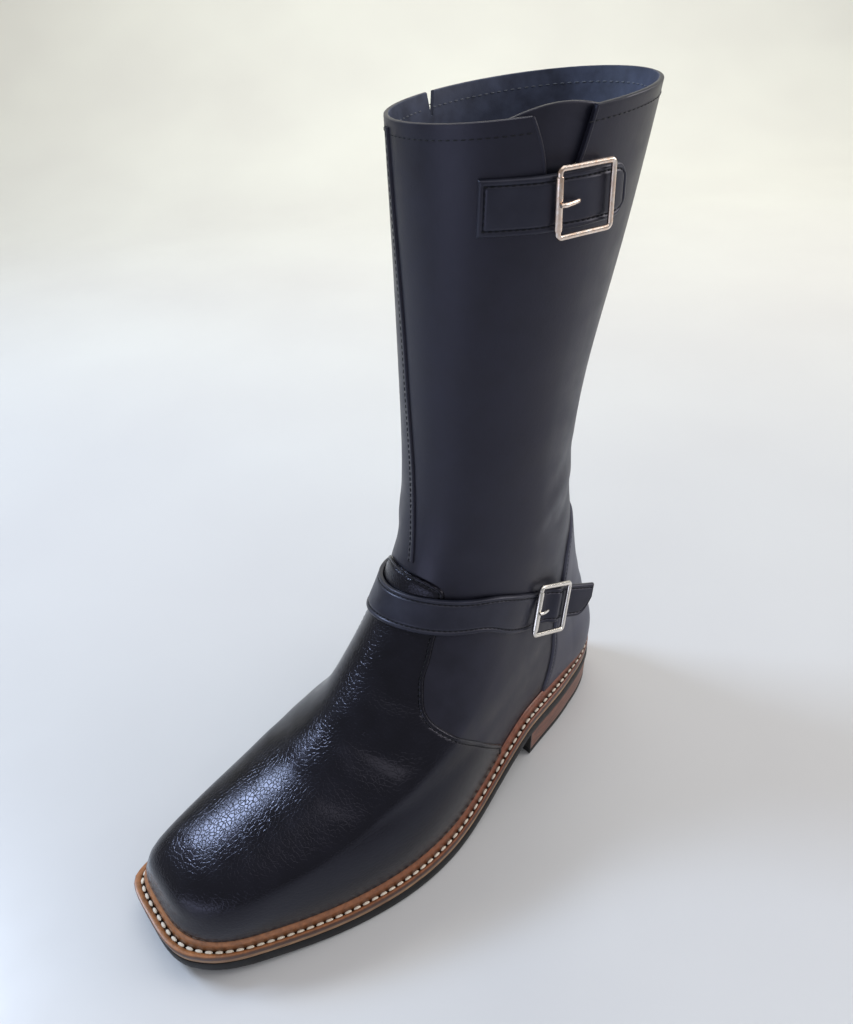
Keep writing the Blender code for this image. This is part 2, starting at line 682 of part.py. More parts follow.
def make_buckle(name, size, prong, finish, parts):
    """A rounded rectangle of wire, and its prong lying on the strap with its tip over the front bar."""
    out, side, up = frame_axes(size["turn"], size["lean"], size["roll"])
    wide = (size["width"] - size["wire"]) / 2 - BUCKLE_CORNER
    high = (size["height"] - size["wire"]) / 2 - BUCKLE_CORNER
    path = []
    for corner, (across, upward) in enumerate(((1, 1), (-1, 1), (-1, -1), (1, -1))):
        for step in range(4):
            turn = np.radians(90 * corner + 30 * step)
            path.append(
                np.array(size["centre"]) + side * (across * wide + BUCKLE_CORNER * np.cos(turn))
                + up * (upward * high + BUCKLE_CORNER * np.sin(turn))
            )
    tube(name, path, size["wire"] / 2, finish, parts, cyclic=True)
    root, tip = (np.array(end) for end in prong)
    bow = (root + tip) / 2 + PRONG_BOW * out
    tube(name + "_prong", [root, bow, tip], PRONG_RADIUS, finish, parts)


def make_front_seam(parts):
    """Raised seam that climbs the shaft a little to the inner side of its front."""
    heights, across = zip(*FRONT_SEAM)
    line = natural_spline(heights, across)
    lift = GAP + FACET_ROOM
    stations = []
    for z in np.linspace(heights[0], heights[-1], 15):
        angles = []
        for x in (float(line(z)) - FRONT_SEAM_WIDTH / 2, float(line(z)), float(line(z)) + FRONT_SEAM_WIDTH / 2):
            low, high = -60.0, 60.0
            for _ in range(20):
                middle = (low + high) / 2
                if on_upper(middle, z, 0)[0] < x:
                    low = middle
                else:
                    high = middle
            angles.append(low)
        left, crest, right = angles
        stations.append(np.array([
            on_upper(left, z, lift), on_upper(crest, z, lift), on_upper(right, z, lift),
            on_upper(right, z, lift + FRONT_SEAM_EDGE), on_upper(crest, z, lift + FRONT_SEAM_HEIGHT),
            on_upper(left, z, lift + FRONT_SEAM_EDGE),
        ]))
    ribbon("front_seam", stations, "black leather", parts)


def make_gusset(parts):
    """Panel inside the wall, closing the notch."""
    outer = -(UPPER_WALL + GAP + FACET_ROOM)
    stations = []
    for angle in np.linspace(*GUSSET_ANGLES, 8):
        heights = np.linspace(*GUSSET_Z, 4)
        face = [on_upper(angle, z, outer) for z in heights]
        back = [on_upper(angle, z, outer - GUSSET_WALL) for z in heights[::-1]]
        stations.append(np.array(face + back))
    ribbon("gusset", stations, "lining leather", parts)


def make_zip(parts, cutters):
    """Closed zip on the inner side: its tape and teeth, its slider, and its pull hanging from the slider's bail."""
    heights, places = zip(*ZIP_LINE)
    line = natural_spline(heights, places)
    lift = GAP + FACET_ROOM
    stations = []
    for z in np.linspace(heights[0], heights[-1], 16):
        y = float(line(z))
        sides = (y - ZIP_WIDTH / 2, y, y + ZIP_WIDTH / 2)
        inner = [on_side(place, z, -1, lift) for place in sides]
        outer = [on_side(place, z, -1, lift + ZIP_THICKNESS) for place in sides[::-1]]
        stations.append(np.array(inner + outer))
    ribbon("zip", stations, "zip metal", parts)

    y = float(line(SLIDER_Z))
    face = on_side(y, SLIDER_Z + SLIDER_LENGTH / 2, -1, lift + ZIP_THICKNESS + GAP)
    normal = upper_normals(level_at(np.radians(-80), SLIDER_Z), np.radians(-80))
    out = np.array([normal[0], normal[1], 0]) / np.hypot(normal[0], normal[1])
    up = np.array([0, 0, 1.0])
    axes = (out, np.cross(up, out), up)
    root = np.array([face[0], y, SLIDER_Z])

    def at(height):
        return root + height * out

    slider = box(
        "zip_slider", at(SLIDER_BODY / 2), axes, (SLIDER_BODY, SLIDER_WIDTH, SLIDER_LENGTH), "zip metal", parts
    )
    post = (BAIL_LENGTH - BAIL_BAR) / 2
    bar_height = SLIDER_BODY + BAIL_ROOM + BAIL_BAR / 2
    bail = [
        box(
            "bail bar", at(bar_height), axes,
            (BAIL_BAR, BAIL_WIDTH + BAIL_OVERLAP, BAIL_LENGTH + BAIL_OVERLAP), "zip metal", cutters,
        ),
        box(
            "bail top post", at((SLIDER_BODY + bar_height) / 2) + post * up, axes,
            (bar_height - SLIDER_BODY + 2 * BAIL_OVERLAP, BAIL_WIDTH, BAIL_BAR), "zip metal", cutters,
        ),
        box(
            "bail bottom post", at((SLIDER_BODY + bar_height) / 2) - post * up, axes,
            (bar_height - SLIDER_BODY + 2 * BAIL_OVERLAP, BAIL_WIDTH, BAIL_BAR), "zip metal", cutters,
        ),
    ]
    join_solids(slider, bail)

    pivot = at(SLIDER_BODY + BAIL_ROOM / 2)
    across = axes[1]
    pull = box(
        "zip_pull", pivot + (PULL_ARM_TOP - PULL_LENGTH / 2) * up, axes, (PULL_THICKNESS, PULL_WIDTH, PULL_LENGTH),
        "zip metal", parts,
    )
    slot_height = PULL_SLOT + 2 * PULL_ARM_TOP
    slot = box(
        "pull slot", pivot + (slot_height / 2 - PULL_SLOT) * up, axes,
        (3 * PULL_THICKNESS, PULL_SLOT_WIDTH, slot_height), None, cutters,
    )
    slot.hide_render = True
    slot.display_type = "WIRE"
    cut(pull, slot, "DIFFERENCE")
    half_bar = PULL_WIDTH / 2 - PULL_BAR_INSET
    ends = [pivot - half_bar * across, pivot + half_bar * across]
    bar = tube("pull bar", ends, PULL_BAR_RADIUS, "zip metal", cutters)
    join_solids(pull, [bar])


def main():
    clear_scene()
    parts = new_collection("engineer boot")
    cutters = new_collection("cutters")
    make_sole(parts)
    make_welt(parts)
    make_insole(parts)
    make_upper(parts, cutters)
    make_front_seam(parts)
    make_gusset(parts)
    make_ankle_strap(parts)
    make_top_strap(parts)
    make_buckle("ankle_buckle", ANKLE_BUCKLE, ANKLE_PRONG, "bright buckle", parts)
    make_buckle("top_buckle", TOP_BUCKLE, TOP_PRONG, "pale gold buckle", parts)
    make_zip(parts, cutters)


main()
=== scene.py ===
"""Looks of the engineer boot, laid out as a Blender add-on and run as a script.

Sizes are in millimetres where nothing else is said, and become metres where a mesh is made. The origin is
the centre of the heel's flat bottom, +Z is up, -Y points to the toe and +X to the outer side of the foot.
Angles run round the leg in plan: 0 is the front, 90 degrees the outer side, 180 the back, -90 the inner side.
"""

import bmesh
import bpy
import numpy as np
from mathutils import Matrix


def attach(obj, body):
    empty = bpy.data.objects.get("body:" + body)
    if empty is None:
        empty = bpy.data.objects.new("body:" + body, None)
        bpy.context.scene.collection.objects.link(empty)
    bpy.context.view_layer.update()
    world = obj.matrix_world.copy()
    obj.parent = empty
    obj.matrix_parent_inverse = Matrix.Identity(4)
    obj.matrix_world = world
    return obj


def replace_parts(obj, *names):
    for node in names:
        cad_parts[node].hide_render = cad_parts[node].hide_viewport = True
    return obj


bl_info = {
    "name": "Engineer Boot Finishes",
    "version": (1, 0, 0),
    "blender": (4, 5, 0),
    "location": "3D View > Sidebar > Boot",
    "description": "Finished leather, sole, straps, buckles and zip of an engineer boot",
    "category": "Object",
}

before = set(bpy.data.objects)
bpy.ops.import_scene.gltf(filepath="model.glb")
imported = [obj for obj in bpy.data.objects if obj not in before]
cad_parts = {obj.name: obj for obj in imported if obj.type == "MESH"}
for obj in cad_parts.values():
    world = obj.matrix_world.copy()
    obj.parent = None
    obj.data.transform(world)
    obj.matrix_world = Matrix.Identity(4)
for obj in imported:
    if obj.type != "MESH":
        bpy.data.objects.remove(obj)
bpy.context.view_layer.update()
MM = 0.001
BODY = "boot"

# Form of the upper, one row a section from the welt to the collar
COLUMNS = (
    "y_front", "z_front", "y_back", "z_back", "nose", "blunt", "heel_len", "heel_blunt",
    "toe", "ball", "waist", "heel", "side", "slim",
)
SECTIONS = {
    "rim": (-257.5, 16.1, 42, 28.8, 32, 3.2, 40, 2.2, 35, 48.5, 36.5, 29, 0, 0),
    "feather": (-259.5, 27.5, 43.5, 38.5, 33, 3.2, 42, 2.2, 36.5, 50, 38, 30.5, 0, 3),
    "toe wall": (-257.5, 36.5, 44, 49, 35, 3.1, 44, 2.2, 37, 51, 39, 31.5, 0, 6.5),
    "toe edge": (-253.5, 46, 43, 58, 38, 2.8, 46, 2.2, 35.5, 50.5, 39.5, 31.5, 0, 8),
    "toe top": (-240, 54.1, 40, 66, 46, 2.5, 47, 2.2, 33.5, 48.5, 39.5, 31, 0, 6.5),
    "toe box": (-223, 60, 38, 73, 58, 2.3, 47, 2.2, 31, 46, 39, 30.5, 0, 5),
    "front vamp": (-203, 66.5, 36, 80, 70, 2.15, 47, 2.2, 30, 44.5, 39, 30, 0, 2.5),
    "ball": (-181, 75, 34, 87, 80, 2.05, 46, 2.2, 30, 43, 39, 30.5, -0.5, 0.5),
    "back vamp": (-161.5, 85, 32, 94, 82, 2.0, 46, 2.2, 29.5, 41, 38.5, 31, -1.5, 0),
    "instep": (-141.5, 100, 30, 102, 80, 2.0, 46, 2.2, 29.5, 40, 38, 32, -3, 0),
    "throat": (-121, 117, 27.5, 112, 72, 2.0, 46, 2.1, 30, 39.5, 38, 33.5, -4.5, 0),
    "ankle": (-101.7, 138, 23.5, 128, 65, 2.0, 50, 2.1, 32.5, 39.5, 39, 36, -5.5, 0),
    "low leg": (-88, 165, 18.5, 155, 57, 2.05, 51, 2.1, 35, 39.5, 39.5, 38, -6, 0),
    "leg": (-80.5, 200, 16.5, 195, 52, 2.1, 50, 2.1, 36.5, 39.5, 39.5, 39, -6.5, 0),
    "low calf": (-77, 245, 23.5, 245, 53, 2.1, 52, 2.1, 39.5, 42, 42, 42, -6.5, 0),
    "calf": (-75.5, 300, 38, 302, 58, 2.1, 58, 2.1, 43.5, 46, 46, 46, -4.5, 0),
    "collar": (-75, 357.5, 53, 364, 65, 2.05, 65, 2.05, 47, 50, 50, 50, -3, 0),
}
TABLE = np.array(list(SECTIONS.values()), float)
TOP = len(SECTIONS) - 1.0
SOLE = dict(
    y_front=-268.0, z_front=0.0, y_back=48.0, z_back=0.0, nose=36.0, blunt=3.1, heel_len=68.0, heel_blunt=2.1,
    toe=41.3, ball=54.7, waist=43.0, heel=36.0, side=0.0, slim=0.0,
)
CENTRE_LINE = ((-268, -12.5), (-200, -2), (-140, 3.7), (-75, 4), (0, -2), (45, -3.2))
WIDTH_STATIONS = (-235.0, -140.0, -75.0, -10.0)
INNER_BLUNT = 0.5
INNER_ARCH = 7.0
INNER_ARCH_Y = -88.0
INNER_ARCH_LENGTH = 38.0
INNER_ARCH_Z = 60.0
INNER_ROUND_Z = 30.0
FADE_SPAN = 40.0
SLIM_Y = -215.0
SLIM_LENGTH = 60.0
SHAFT_START_Z = 75.0
TOE_SPRING = 8.0
TOE_TIP_Y = -268.0
TREAD_FRONT_Y = -185.0
TREAD_BACK_Y = -125.0
HEEL_BREAST_Y = -43.5
ARCH_END_Y = -45.0
HEEL_HEIGHT = 19.0
TOP_LIFT_HEIGHT = 4.0
OUTSOLE_TOP = 6.5
MIDSOLE_BOTTOM = 6.7
MIDSOLE_TOP = 9.6

# Side outlines of the overlays and the collar's cuts, as y and z
VAMP_OUTLINE = (
    (-300, 0), (-70, 0), (-72.5, 38), (-93.3, 62.4), (-107.9, 78), (-114.3, 85.3), (-117.3, 90.4),
    (-117.6, 95.4),
    (-115.1, 101.4), (-111.4, 107.7), (-105.4, 114.4), (-98, 124), (-90.5, 134), (-87.6, 141), (-86.6, 145.5),
    (-88.2, 148.5), (-91.2, 151), (-94, 152.4), (-120, 158), (-300, 158),
)
COUNTER_OUTLINE = (
    (60, 20), (-27, 20), (-26.2, 42), (-20.4, 57.3), (-17.2, 68.8), (-16.4, 78.2), (-7.1, 115.5), (-5.8, 124),
    (-3.9, 133.8), (1.2, 142.3), (9, 149), (30, 151), (60, 151),
)
NOTCH_OUTLINE = (
    (-50.5, 372), (-49.6, 358.8), (-45, 342.6), (-42.5, 330), (-41.3, 328.2), (-39, 327.3), (-36.8, 328.2),
    (-35, 330), (-30.4, 341), (-24.3, 360.1), (-23.2, 372),
)
ZIP_MOUTH_OUTLINE = ((-27.5, 372), (-22.8, 351), (-21.6, 351), (-18, 372))

# Soft troughs and ridges: two ends as angle and height, depth (minus is a trough), width
CREASES = (
    (-30, 66, 24, 71, -0.9, 10.0), (-26, 76, 34, 74, 0.6, 9.0),
    (8, 75, 62, 58, -0.55, 4.5), (14, 82, 66, 63, 0.45, 4.5), (22, 88, 70, 68, -0.4, 4.0),
    (2, 95, 60, 82, 0.5, 6.0),
    (-12, 74, -60, 60, -0.5, 4.5), (-18, 84, -66, 68, 0.4, 5.0), (5, 106, 50, 98, -0.45, 5.0),
    (96, 160, 140, 176, -1.1, 6.5), (100, 172, 138, 187, 0.9, 7.0), (105, 186, 142, 198, -0.6, 7.0),
    (20, 158, 62, 152, -0.5, 5.0), (-20, 160, -60, 156, -0.7, 6.0), (-24, 174, -58, 170, 0.6, 7.0),
    (150, 166, 200, 166, -1.2, 6.0), (150, 178, 205, 179, 0.8, 7.0), (60, 235, 110, 250, -0.5, 14.0),
    (-110, 168, -150, 172, -0.9, 6.0), (30, 200, 75, 214, 0.4, 12.0),
)

CREASE_BOW = 0.12

# Ankle strap: angle, top and bottom edge, distance of its inner face from the upper
ANKLE_STRAP = (
    (-67.5, 130.5, 113.5, 0.5), (-52.5, 134.5, 117.5, 1.5), (-30, 138.5, 122.5, 2.0), (0, 142, 127, 2.0),
    (30, 142.5, 126.5, 2.0), (52.5, 140, 123.5, 1.5), (67.5, 137, 119.5, 0.7), (82.5, 130.8, 110.8, 0.5),
    (99, 122.2, 102.4, 0.3),
)
ANKLE_STRAP_END = (
    (0.5, -1.6, 11.2, -9.2), (5.9, 0.3, 11.2, -9.2), (9.5, -1.1, 11.2, -9.1), (13, -1.9, 11.2, -9.0),
    (22, -0.6, 11.2, -8.6), (30.5, 0.9, 11.2, -6.6), (36.5, 1.8, 11.2, 3.5),
)
TOP_STRAP_Z = (318.4, 339.5)
TOP_STRAP = ((33.5, 0.5), (41.5, 0.5), (49.5, 0.7), (57, 1.3))
TOP_STRAP_END = (
    (44.4, -36.5, 0.0), (46.6, -28.5, 0.0), (47.4, -19, 0.0), (47.6, -11.5, 0.2), (47.1, -7, 2.4),
    (46.6, -4, 7.0),
)
ANKLE_BUCKLE = dict(centre=(36.9, -26.0, 109.4), turn=4.0, lean=9.0, roll=-24.0, width=28.6, height=30.6,
                    wire=2.7)
TOP_BUCKLE = dict(centre=(47.4, -30.4, 329.0), turn=-10.5, lean=0.0, roll=0.0, width=28.3, height=27.2,
                  wire=2.3)
BUCKLE_CORNER = 1.7
ANKLE_PRONG = ((37.1, -29.5, 111.0), (39.5, -39.2, 115.4))
TOP_PRONG = ((46.9, -33.2, 329.2), (47.8, -45.2, 329.2))

FRONT_SEAM = ((157, -4), (181, -8.5), (210, -12), (237, -14.6), (264, -15.8), (289, -17), (325, -19.3),
              (355, -20.2))
SEAM_PROFILE = (
    (-2.3, 0.05), (-1.9, 0.35), (-1.2, 0.5), (-0.4, 0.55), (0.3, 0.9), (1.1, 1.15), (1.8, 0.95), (2.2, 0.05),
)
SEAM_STITCH = 2
ZIP_LINE = ((96, -31), (150, -29), (220, -26), (300, -23.5), (344, -22))
GUSSET_ANGLES = (44, 88)
GUSSET_Z = (312, 356)

# Welt profile from the sole's edge to the upper: share of the way out, height above the ground line
WELT_PROFILE = (
    (0.97, 9.8), (0.995, 10.2), (1.0, 11.2), (0.995, 12.3), (0.96, 13.0), (0.88, 13.35), (0.78, 13.3),
    (0.71, 13.0),
    (0.66, 12.3), (0.61, 11.8), (0.56, 11.8), (0.52, 12.4), (0.5, 13.6), (0.485, 15.2), (0.45, 16.9),
    (0.39, 18.3),
    (0.31, 19.2), (0.22, 19.5), (0.14, 19.3),
)
# Seat of the welt on the upper: level of the form and distance outside it
WELT_SEAT = ((0.93, 0.5), (0.5, 0.35), (0.0, 0.35))
STITCH_SHARE = 0.61
STITCH_HEIGHT = 12.75

# Depth of a leather edge below its face by distance from the edge: rounded, then a stitched groove
EDGE_DEPTH = ((0, 1.0), (0.12, 0.7), (0.35, 0.35), (0.7, 0.08), (1.1, 0.0), (1.8, 0.08), (2.15, 0.4),
              (2.45, 0.6),
              (2.75, 0.4), (3.1, 0.08), (4.2, 0.0))
STRAP_MARGIN = 3.8
GROOVE_INSET = 2.45

# Stitches: pitch, length, width and height
OVERLAY_STITCH = (2.9, 2.1, 0.55, 0.45)
STRAP_STITCH = (2.9, 2.1, 0.5, 0.4)
TOP_STRAP_STITCH = (2.6, 1.9, 0.5, 0.4)
SEAM_STITCH_SIZE = (2.9, 2.1, 0.5, 0.35)
COLLAR_STITCH = (3.0, 2.2, 0.5, 0.4)
LINING_STITCH = (3.4, 2.2, 0.6, 0.4)
WELT_STITCH_SIZE = (4.1, 1.8, 1.4)
ZIP_TOOTH = (2.4, 1.3, 2.3, 1.3)

# Studio, in metres
FLOOR_FRONT = -3.5
FLOOR_RUN = 1.3
SWEEP_RADIUS = 1.2
WALL_HEIGHT = 4.5
FLOOR_HALF_WIDTH = 4.0
FLOOR_DROP = 0.0002

# Camera of the photograph
CAMERA_PLACE = (0.24274, -0.27508, 0.39998)
CAMERA_PAN = 51.423
CAMERA_TILT = 34.692
CAMERA_ROLL = -4.053
CAMERA_LENS = 26.72


def spline_weights(knots, places):
    """Weights that give a natural cubic spline's value from its values at the knots."""
    x = np.asarray(knots, float)
    t = np.asarray(places, float)
    count = len(x)
    step = np.diff(x)
    system = np.eye(count)
    pull = np.zeros((count, count))
    for i in range(1, count - 1):
        system[i, i - 1:i + 2] = step[i - 1], 2 * (step[i - 1] + step[i]), step[i]
        pull[i, i - 1:i + 2] = 6 / step[i - 1], -6 / step[i - 1] - 6 / step[i], 6 / step[i]
    bend = np.linalg.solve(system, pull)
    i = np.clip(np.searchsorted(x, t) - 1, 0, count - 2)
    span, after, before = step[i], t - x[i], x[i + 1] - t
    unit = np.eye(count)

    def part(way, at):
        return (way / span)[..., None] * unit[at] + ((way ** 3 - way * span ** 2) / (6 * span))[..., None] * bend[at]

    return part(before, i) + part(after, i + 1)


def spline(knots, values, places):
    return spline_weights(knots, places) @ np.asarray(values, float)


def eased(t):
    t = np.clip(t, 0, 1)
    return t * t * (3 - 2 * t)


def ground(y):
    """Height of the outsole's underside: flat tread, toe spring in front, arch up to the heel behind."""
    toe = np.clip((TREAD_FRONT_Y - y) / (TREAD_FRONT_Y - TOE_TIP_Y), 0, None) ** 1.8 * TOE_SPRING
    arch = np.clip((y - TREAD_BACK_Y) / (ARCH_END_Y - TREAD_BACK_Y), 0, 1)
    return toe + HEEL_HEIGHT * (eased(arch) + arch ** 1.6) / 2


def half_width(size, y, side):
    stations = np.stack(np.broadcast_arrays(*(size[name] for name in ("toe", "ball", "waist", "heel"))), -1)
    reach = np.clip(y, WIDTH_STATIONS[0] - 25, WIDTH_STATIONS[-1] + 15)
    wide = (spline_weights(WIDTH_STATIONS, reach) * stations).sum(-1)
    foot = 1 - eased((size["z_front"] - INNER_ARCH_Z) / FADE_SPAN)
    inner = side < 0
    wide = wide - inner * foot * INNER_ARCH * np.exp(-((y - INNER_ARCH_Y) / INNER_ARCH_LENGTH) ** 2)
    wide = wide - inner * size["slim"] * np.exp(-((y - SLIM_Y) / SLIM_LENGTH) ** 2)
    full = 1 - eased((size["z_front"] - INNER_ROUND_Z) / FADE_SPAN)
    blunt = size["blunt"] * (1 + INNER_BLUNT * full * inner)
    nose = np.clip(1 - (y - size["y_front"]) / size["nose"], 0, 1)
    tail = np.clip(1 - (size["y_back"] - y) / size["heel_len"], 0, 1)
    ends = (1 - nose ** blunt) ** (1 / blunt) * (1 - tail ** size["heel_blunt"]) ** (1 / size["heel_blunt"])
    return wide * ends


def centre_x(size, y):
    knots, values = zip(*CENTRE_LINE)
    foot = 1 - eased((size["z_front"] - SHAFT_START_Z) / SHAFT_START_Z)
    return spline(knots, values, np.clip(y, knots[0], knots[-1])) * foot + size["side"]


def plan(size, theta):
    side = np.where(np.sin(theta) >= 0, 1.0, -1.0)
    y = size["y_front"] + (size["y_back"] - size["y_front"]) * (1 - np.cos(theta)) / 2
    return centre_x(size, y) + side * half_width(size, y, side), y


def form(level, theta):
    """Points of the upper's outer face at a level, 0 at the rim and 16 at the collar."""
    level, theta = np.broadcast_arrays(np.asarray(level, float), np.asarray(theta, float))
    values = spline_weights(range(len(TABLE)), level) @ TABLE
    size = dict(zip(COLUMNS, np.moveaxis(values, -1, 0)))
    x, y = plan(size, theta)
    along = (1 - np.cos(theta)) / 2
    follow = np.clip(1 - (size["z_back"] - 29) / 75, 0, 1)
    front, back = ground(size["y_front"]), ground(size["y_back"])
    z = size["z_front"] + (size["z_back"] - size["z_front"]) * along
    return np.stack([x, y, z + follow * (ground(y) - front - (back - front) * along)], -1)


def unit(vectors):
    return vectors / np.maximum(np.linalg.norm(vectors, axis=-1, keepdims=True), 1e-12)


def normals(level, theta):
    """Outward directions of the upper's outer face."""
    level, theta = np.broadcast_arrays(np.asarray(level, float), np.asarray(theta, float))
    across = form(level, theta + 0.02) - form(level, theta - 0.02)
    upward = form(np.clip(level + 0.04, 0, TOP), theta) - form(np.clip(level - 0.04, 0, TOP), theta)
    return unit(np.cross(across, upward))


def level_at(theta, z):
    theta, z = np.broadcast_arrays(np.asarray(theta, float), np.asarray(z, float))
    low, high = np.zeros(theta.shape), np.full(theta.shape, TOP)
    for _ in range(24):
        middle = (low + high) / 2
        below = form(middle, theta)[..., 2] < z
        low, high = np.where(below, middle, low), np.where(below, high, middle)
    return low


def at_angle(angle, z):
    theta = np.radians(angle)
    return form(level_at(theta, z), theta)


CREASE_LINES = [(at_angle(a, z_a), at_angle(b, z_b), depth, width) for a, z_a, b, z_b, depth,
                width in CREASES]


def relief(points):
    """Height of the creases at points of the form: bowed soft troughs and ridges that fade at their ends."""
    total = np.zeros(points.shape[:-1])
    for start, end, depth, width in CREASE_LINES:
        along = end - start
        share = ((points - start) @ along) / (along @ along)
        held = np.clip(share, 0, 1)
        bow = 4 * held * (1 - held)
        away = np.linalg.norm(points - start - held[..., None] * along, axis=-1)
        near = np.exp(-np.clip((away - CREASE_BOW * np.linalg.norm(along) * bow) / width, 0, None) ** 2)
        total += depth * near * (0.35 + 0.65 * bow)
    return total


def skin(level, theta, lift):
    """Points at a distance from the creased outer face."""
    base = form(level, theta)
    lift = np.asarray(lift, float) + relief(base)
    return base + lift[..., None] * normals(level, theta)


def on_skin(angle, z, lift):
    theta = np.radians(np.asarray(angle, float))
    return skin(level_at(theta, z), theta, lift)


def on_form(angle, z, lift):
    """Points at a distance from the outer face without its creases."""
    theta = np.radians(np.asarray(angle, float))
    level = level_at(theta, z)
    return form(level, theta) + np.asarray(lift, float)[..., None] * normals(level, theta)


def side_place(y, z, side):
    """Level and angle of a point given by y and z, on the outer side (1) or the inner side (-1)."""
    y, z = np.broadcast_arrays(np.asarray(y, float), np.asarray(z, float))
    low, high = np.zeros(y.shape), np.full(y.shape, TOP)
    theta = y * 0
    for _ in range(24):
        middle = (low + high) / 2
        ends = spline_weights(range(len(TABLE)), middle) @ TABLE[:, [0, 2]]
        share = np.clip((y - ends[..., 0]) / (ends[..., 1] - ends[..., 0]), 0, 1)
        theta = side * np.arccos(1 - 2 * share)
        below = form(middle, theta)[..., 2] < z
        low, high = np.where(below, middle, low), np.where(below, high, middle)
    return low, theta


def inside(outline, y, z):
    """Whether points lie in a side outline."""
    found = np.zeros(y.shape, bool)
    for (y_a, z_a), (y_b, z_b) in zip(outline, outline[1:] + outline[:1]):
        if z_a == z_b:
            continue
        spans = (z_a > z) != (z_b > z)
        found ^= spans & (y < y_a + (z - z_a) * (y_b - y_a) / (z_b - z_a))
    return found


def smooth_outline(outline, first, last, count):
    """The outline with the stretch between two of its corners drawn as a smooth curve."""
    points = np.array(outline[first:last + 1], float)
    length = np.append(0, np.cumsum(np.linalg.norm(np.diff(points, axis=0), axis=1)))
    curve = spline(length, points, np.linspace(0, length[-1], count))
    return tuple(outline[:first]) + tuple(map(tuple, curve)) + tuple(outline[last + 1:])


EDGE_STEPS = 360
VAMP_EDGE = smooth_outline(VAMP_OUTLINE, 2, 17, 90)
COUNTER_EDGE = smooth_outline(COUNTER_OUTLINE, 2, 11, 60)


def edge_angle(levels, outline, from_front):
    """Angle at which each level crosses the outline: the overlay lies before it, or behind it."""
    theta = np.linspace(0, np.pi, EDGE_STEPS + 1)
    points = form(levels[:, None], theta[None, :])
    within = inside(outline, points[..., 1], points[..., 2])
    if from_front:
        step = np.argmin(within, axis=1)
    else:
        step = EDGE_STEPS - np.argmin(within[:, ::-1], axis=1) + 1
    step = np.clip(step, 1, EDGE_STEPS)
    low, high = theta[step - 1], theta[step]
    for _ in range(14):
        middle = (low + high) / 2
        points = form(levels, middle)
        before = inside(outline, points[:, 1], points[:, 2]) == from_front
        low, high = np.where(before, middle, low), np.where(before, high, middle)
    return (low + high) / 2


def even_angles(levels, start, end, shares):
    """Angles between two on each level at these shares of the way along its outline."""
    fine = np.linspace(0, 1, 400)
    theta = start[:, None] + (end - start)[:, None] * fine
    points = form(levels[:, None], theta)
    length = np.cumsum(np.linalg.norm(np.diff(points, axis=1), axis=-1), axis=1)
    length = np.concatenate([np.zeros((len(levels), 1)), length], axis=1)
    return np.array([np.interp(s * l[-1], l, t) for s, l, t in zip(shares, length, theta)]), length[:, -1]


def colour(code):
    """Linear colour from an sRGB hex value."""
    values = np.array([int(code[i:i + 2], 16) / 255 for i in (0, 2, 4)])
    linear = np.where(values <= 0.04045, values / 12.92, ((values + 0.055) / 1.055) ** 2.4)
    return (*map(float, linear), 1.0)


def add(tree, kind, inputs=None, **settings):
    """Adds a node; an input given as a socket is linked, any other value is set."""
    node = tree.nodes.new(kind)
    for name, value in settings.items():
        setattr(node, name, value)
    for name, value in (inputs or {}).items():
        if isinstance(value, bpy.types.NodeSocket):
            tree.links.new(value, node.inputs[name])
        else:
            node.inputs[name].default_value = value
    return node


def new_material(name, **values):
    """A material with its Principled shader; returns the material, its tree and the shader."""
    made = bpy.data.materials.new(name)
    made.use_nodes = True
    tree = made.node_tree
    shader = tree.nodes["Principled BSDF"]
    for socket, value in values.items():
        shader.inputs[socket.replace("_", " ")].default_value = value
    return made, tree, shader


def place(tree):
    return add(tree, "ShaderNodeTexCoord").outputs["Object"]


def ramp(tree, factor, stops):
    node = add(tree, "ShaderNodeValToRGB", {"Fac": factor})
    band = node.color_ramp
    while len(band.elements) < len(stops):
        band.elements.new(0.5)
    for element, (position, shade) in zip(band.elements, stops):
        element.position = position
        element.color = shade
    return node.outputs["Color"]


def multiplied(tree, factor, one, other):
    """One colour darkened by another."""
    node = add(
        tree, "ShaderNodeMix", {"Factor": factor, "A": one, "B": other}, data_type="RGBA",
        blend_type="MULTIPLY"
    )
    return node.outputs[2]


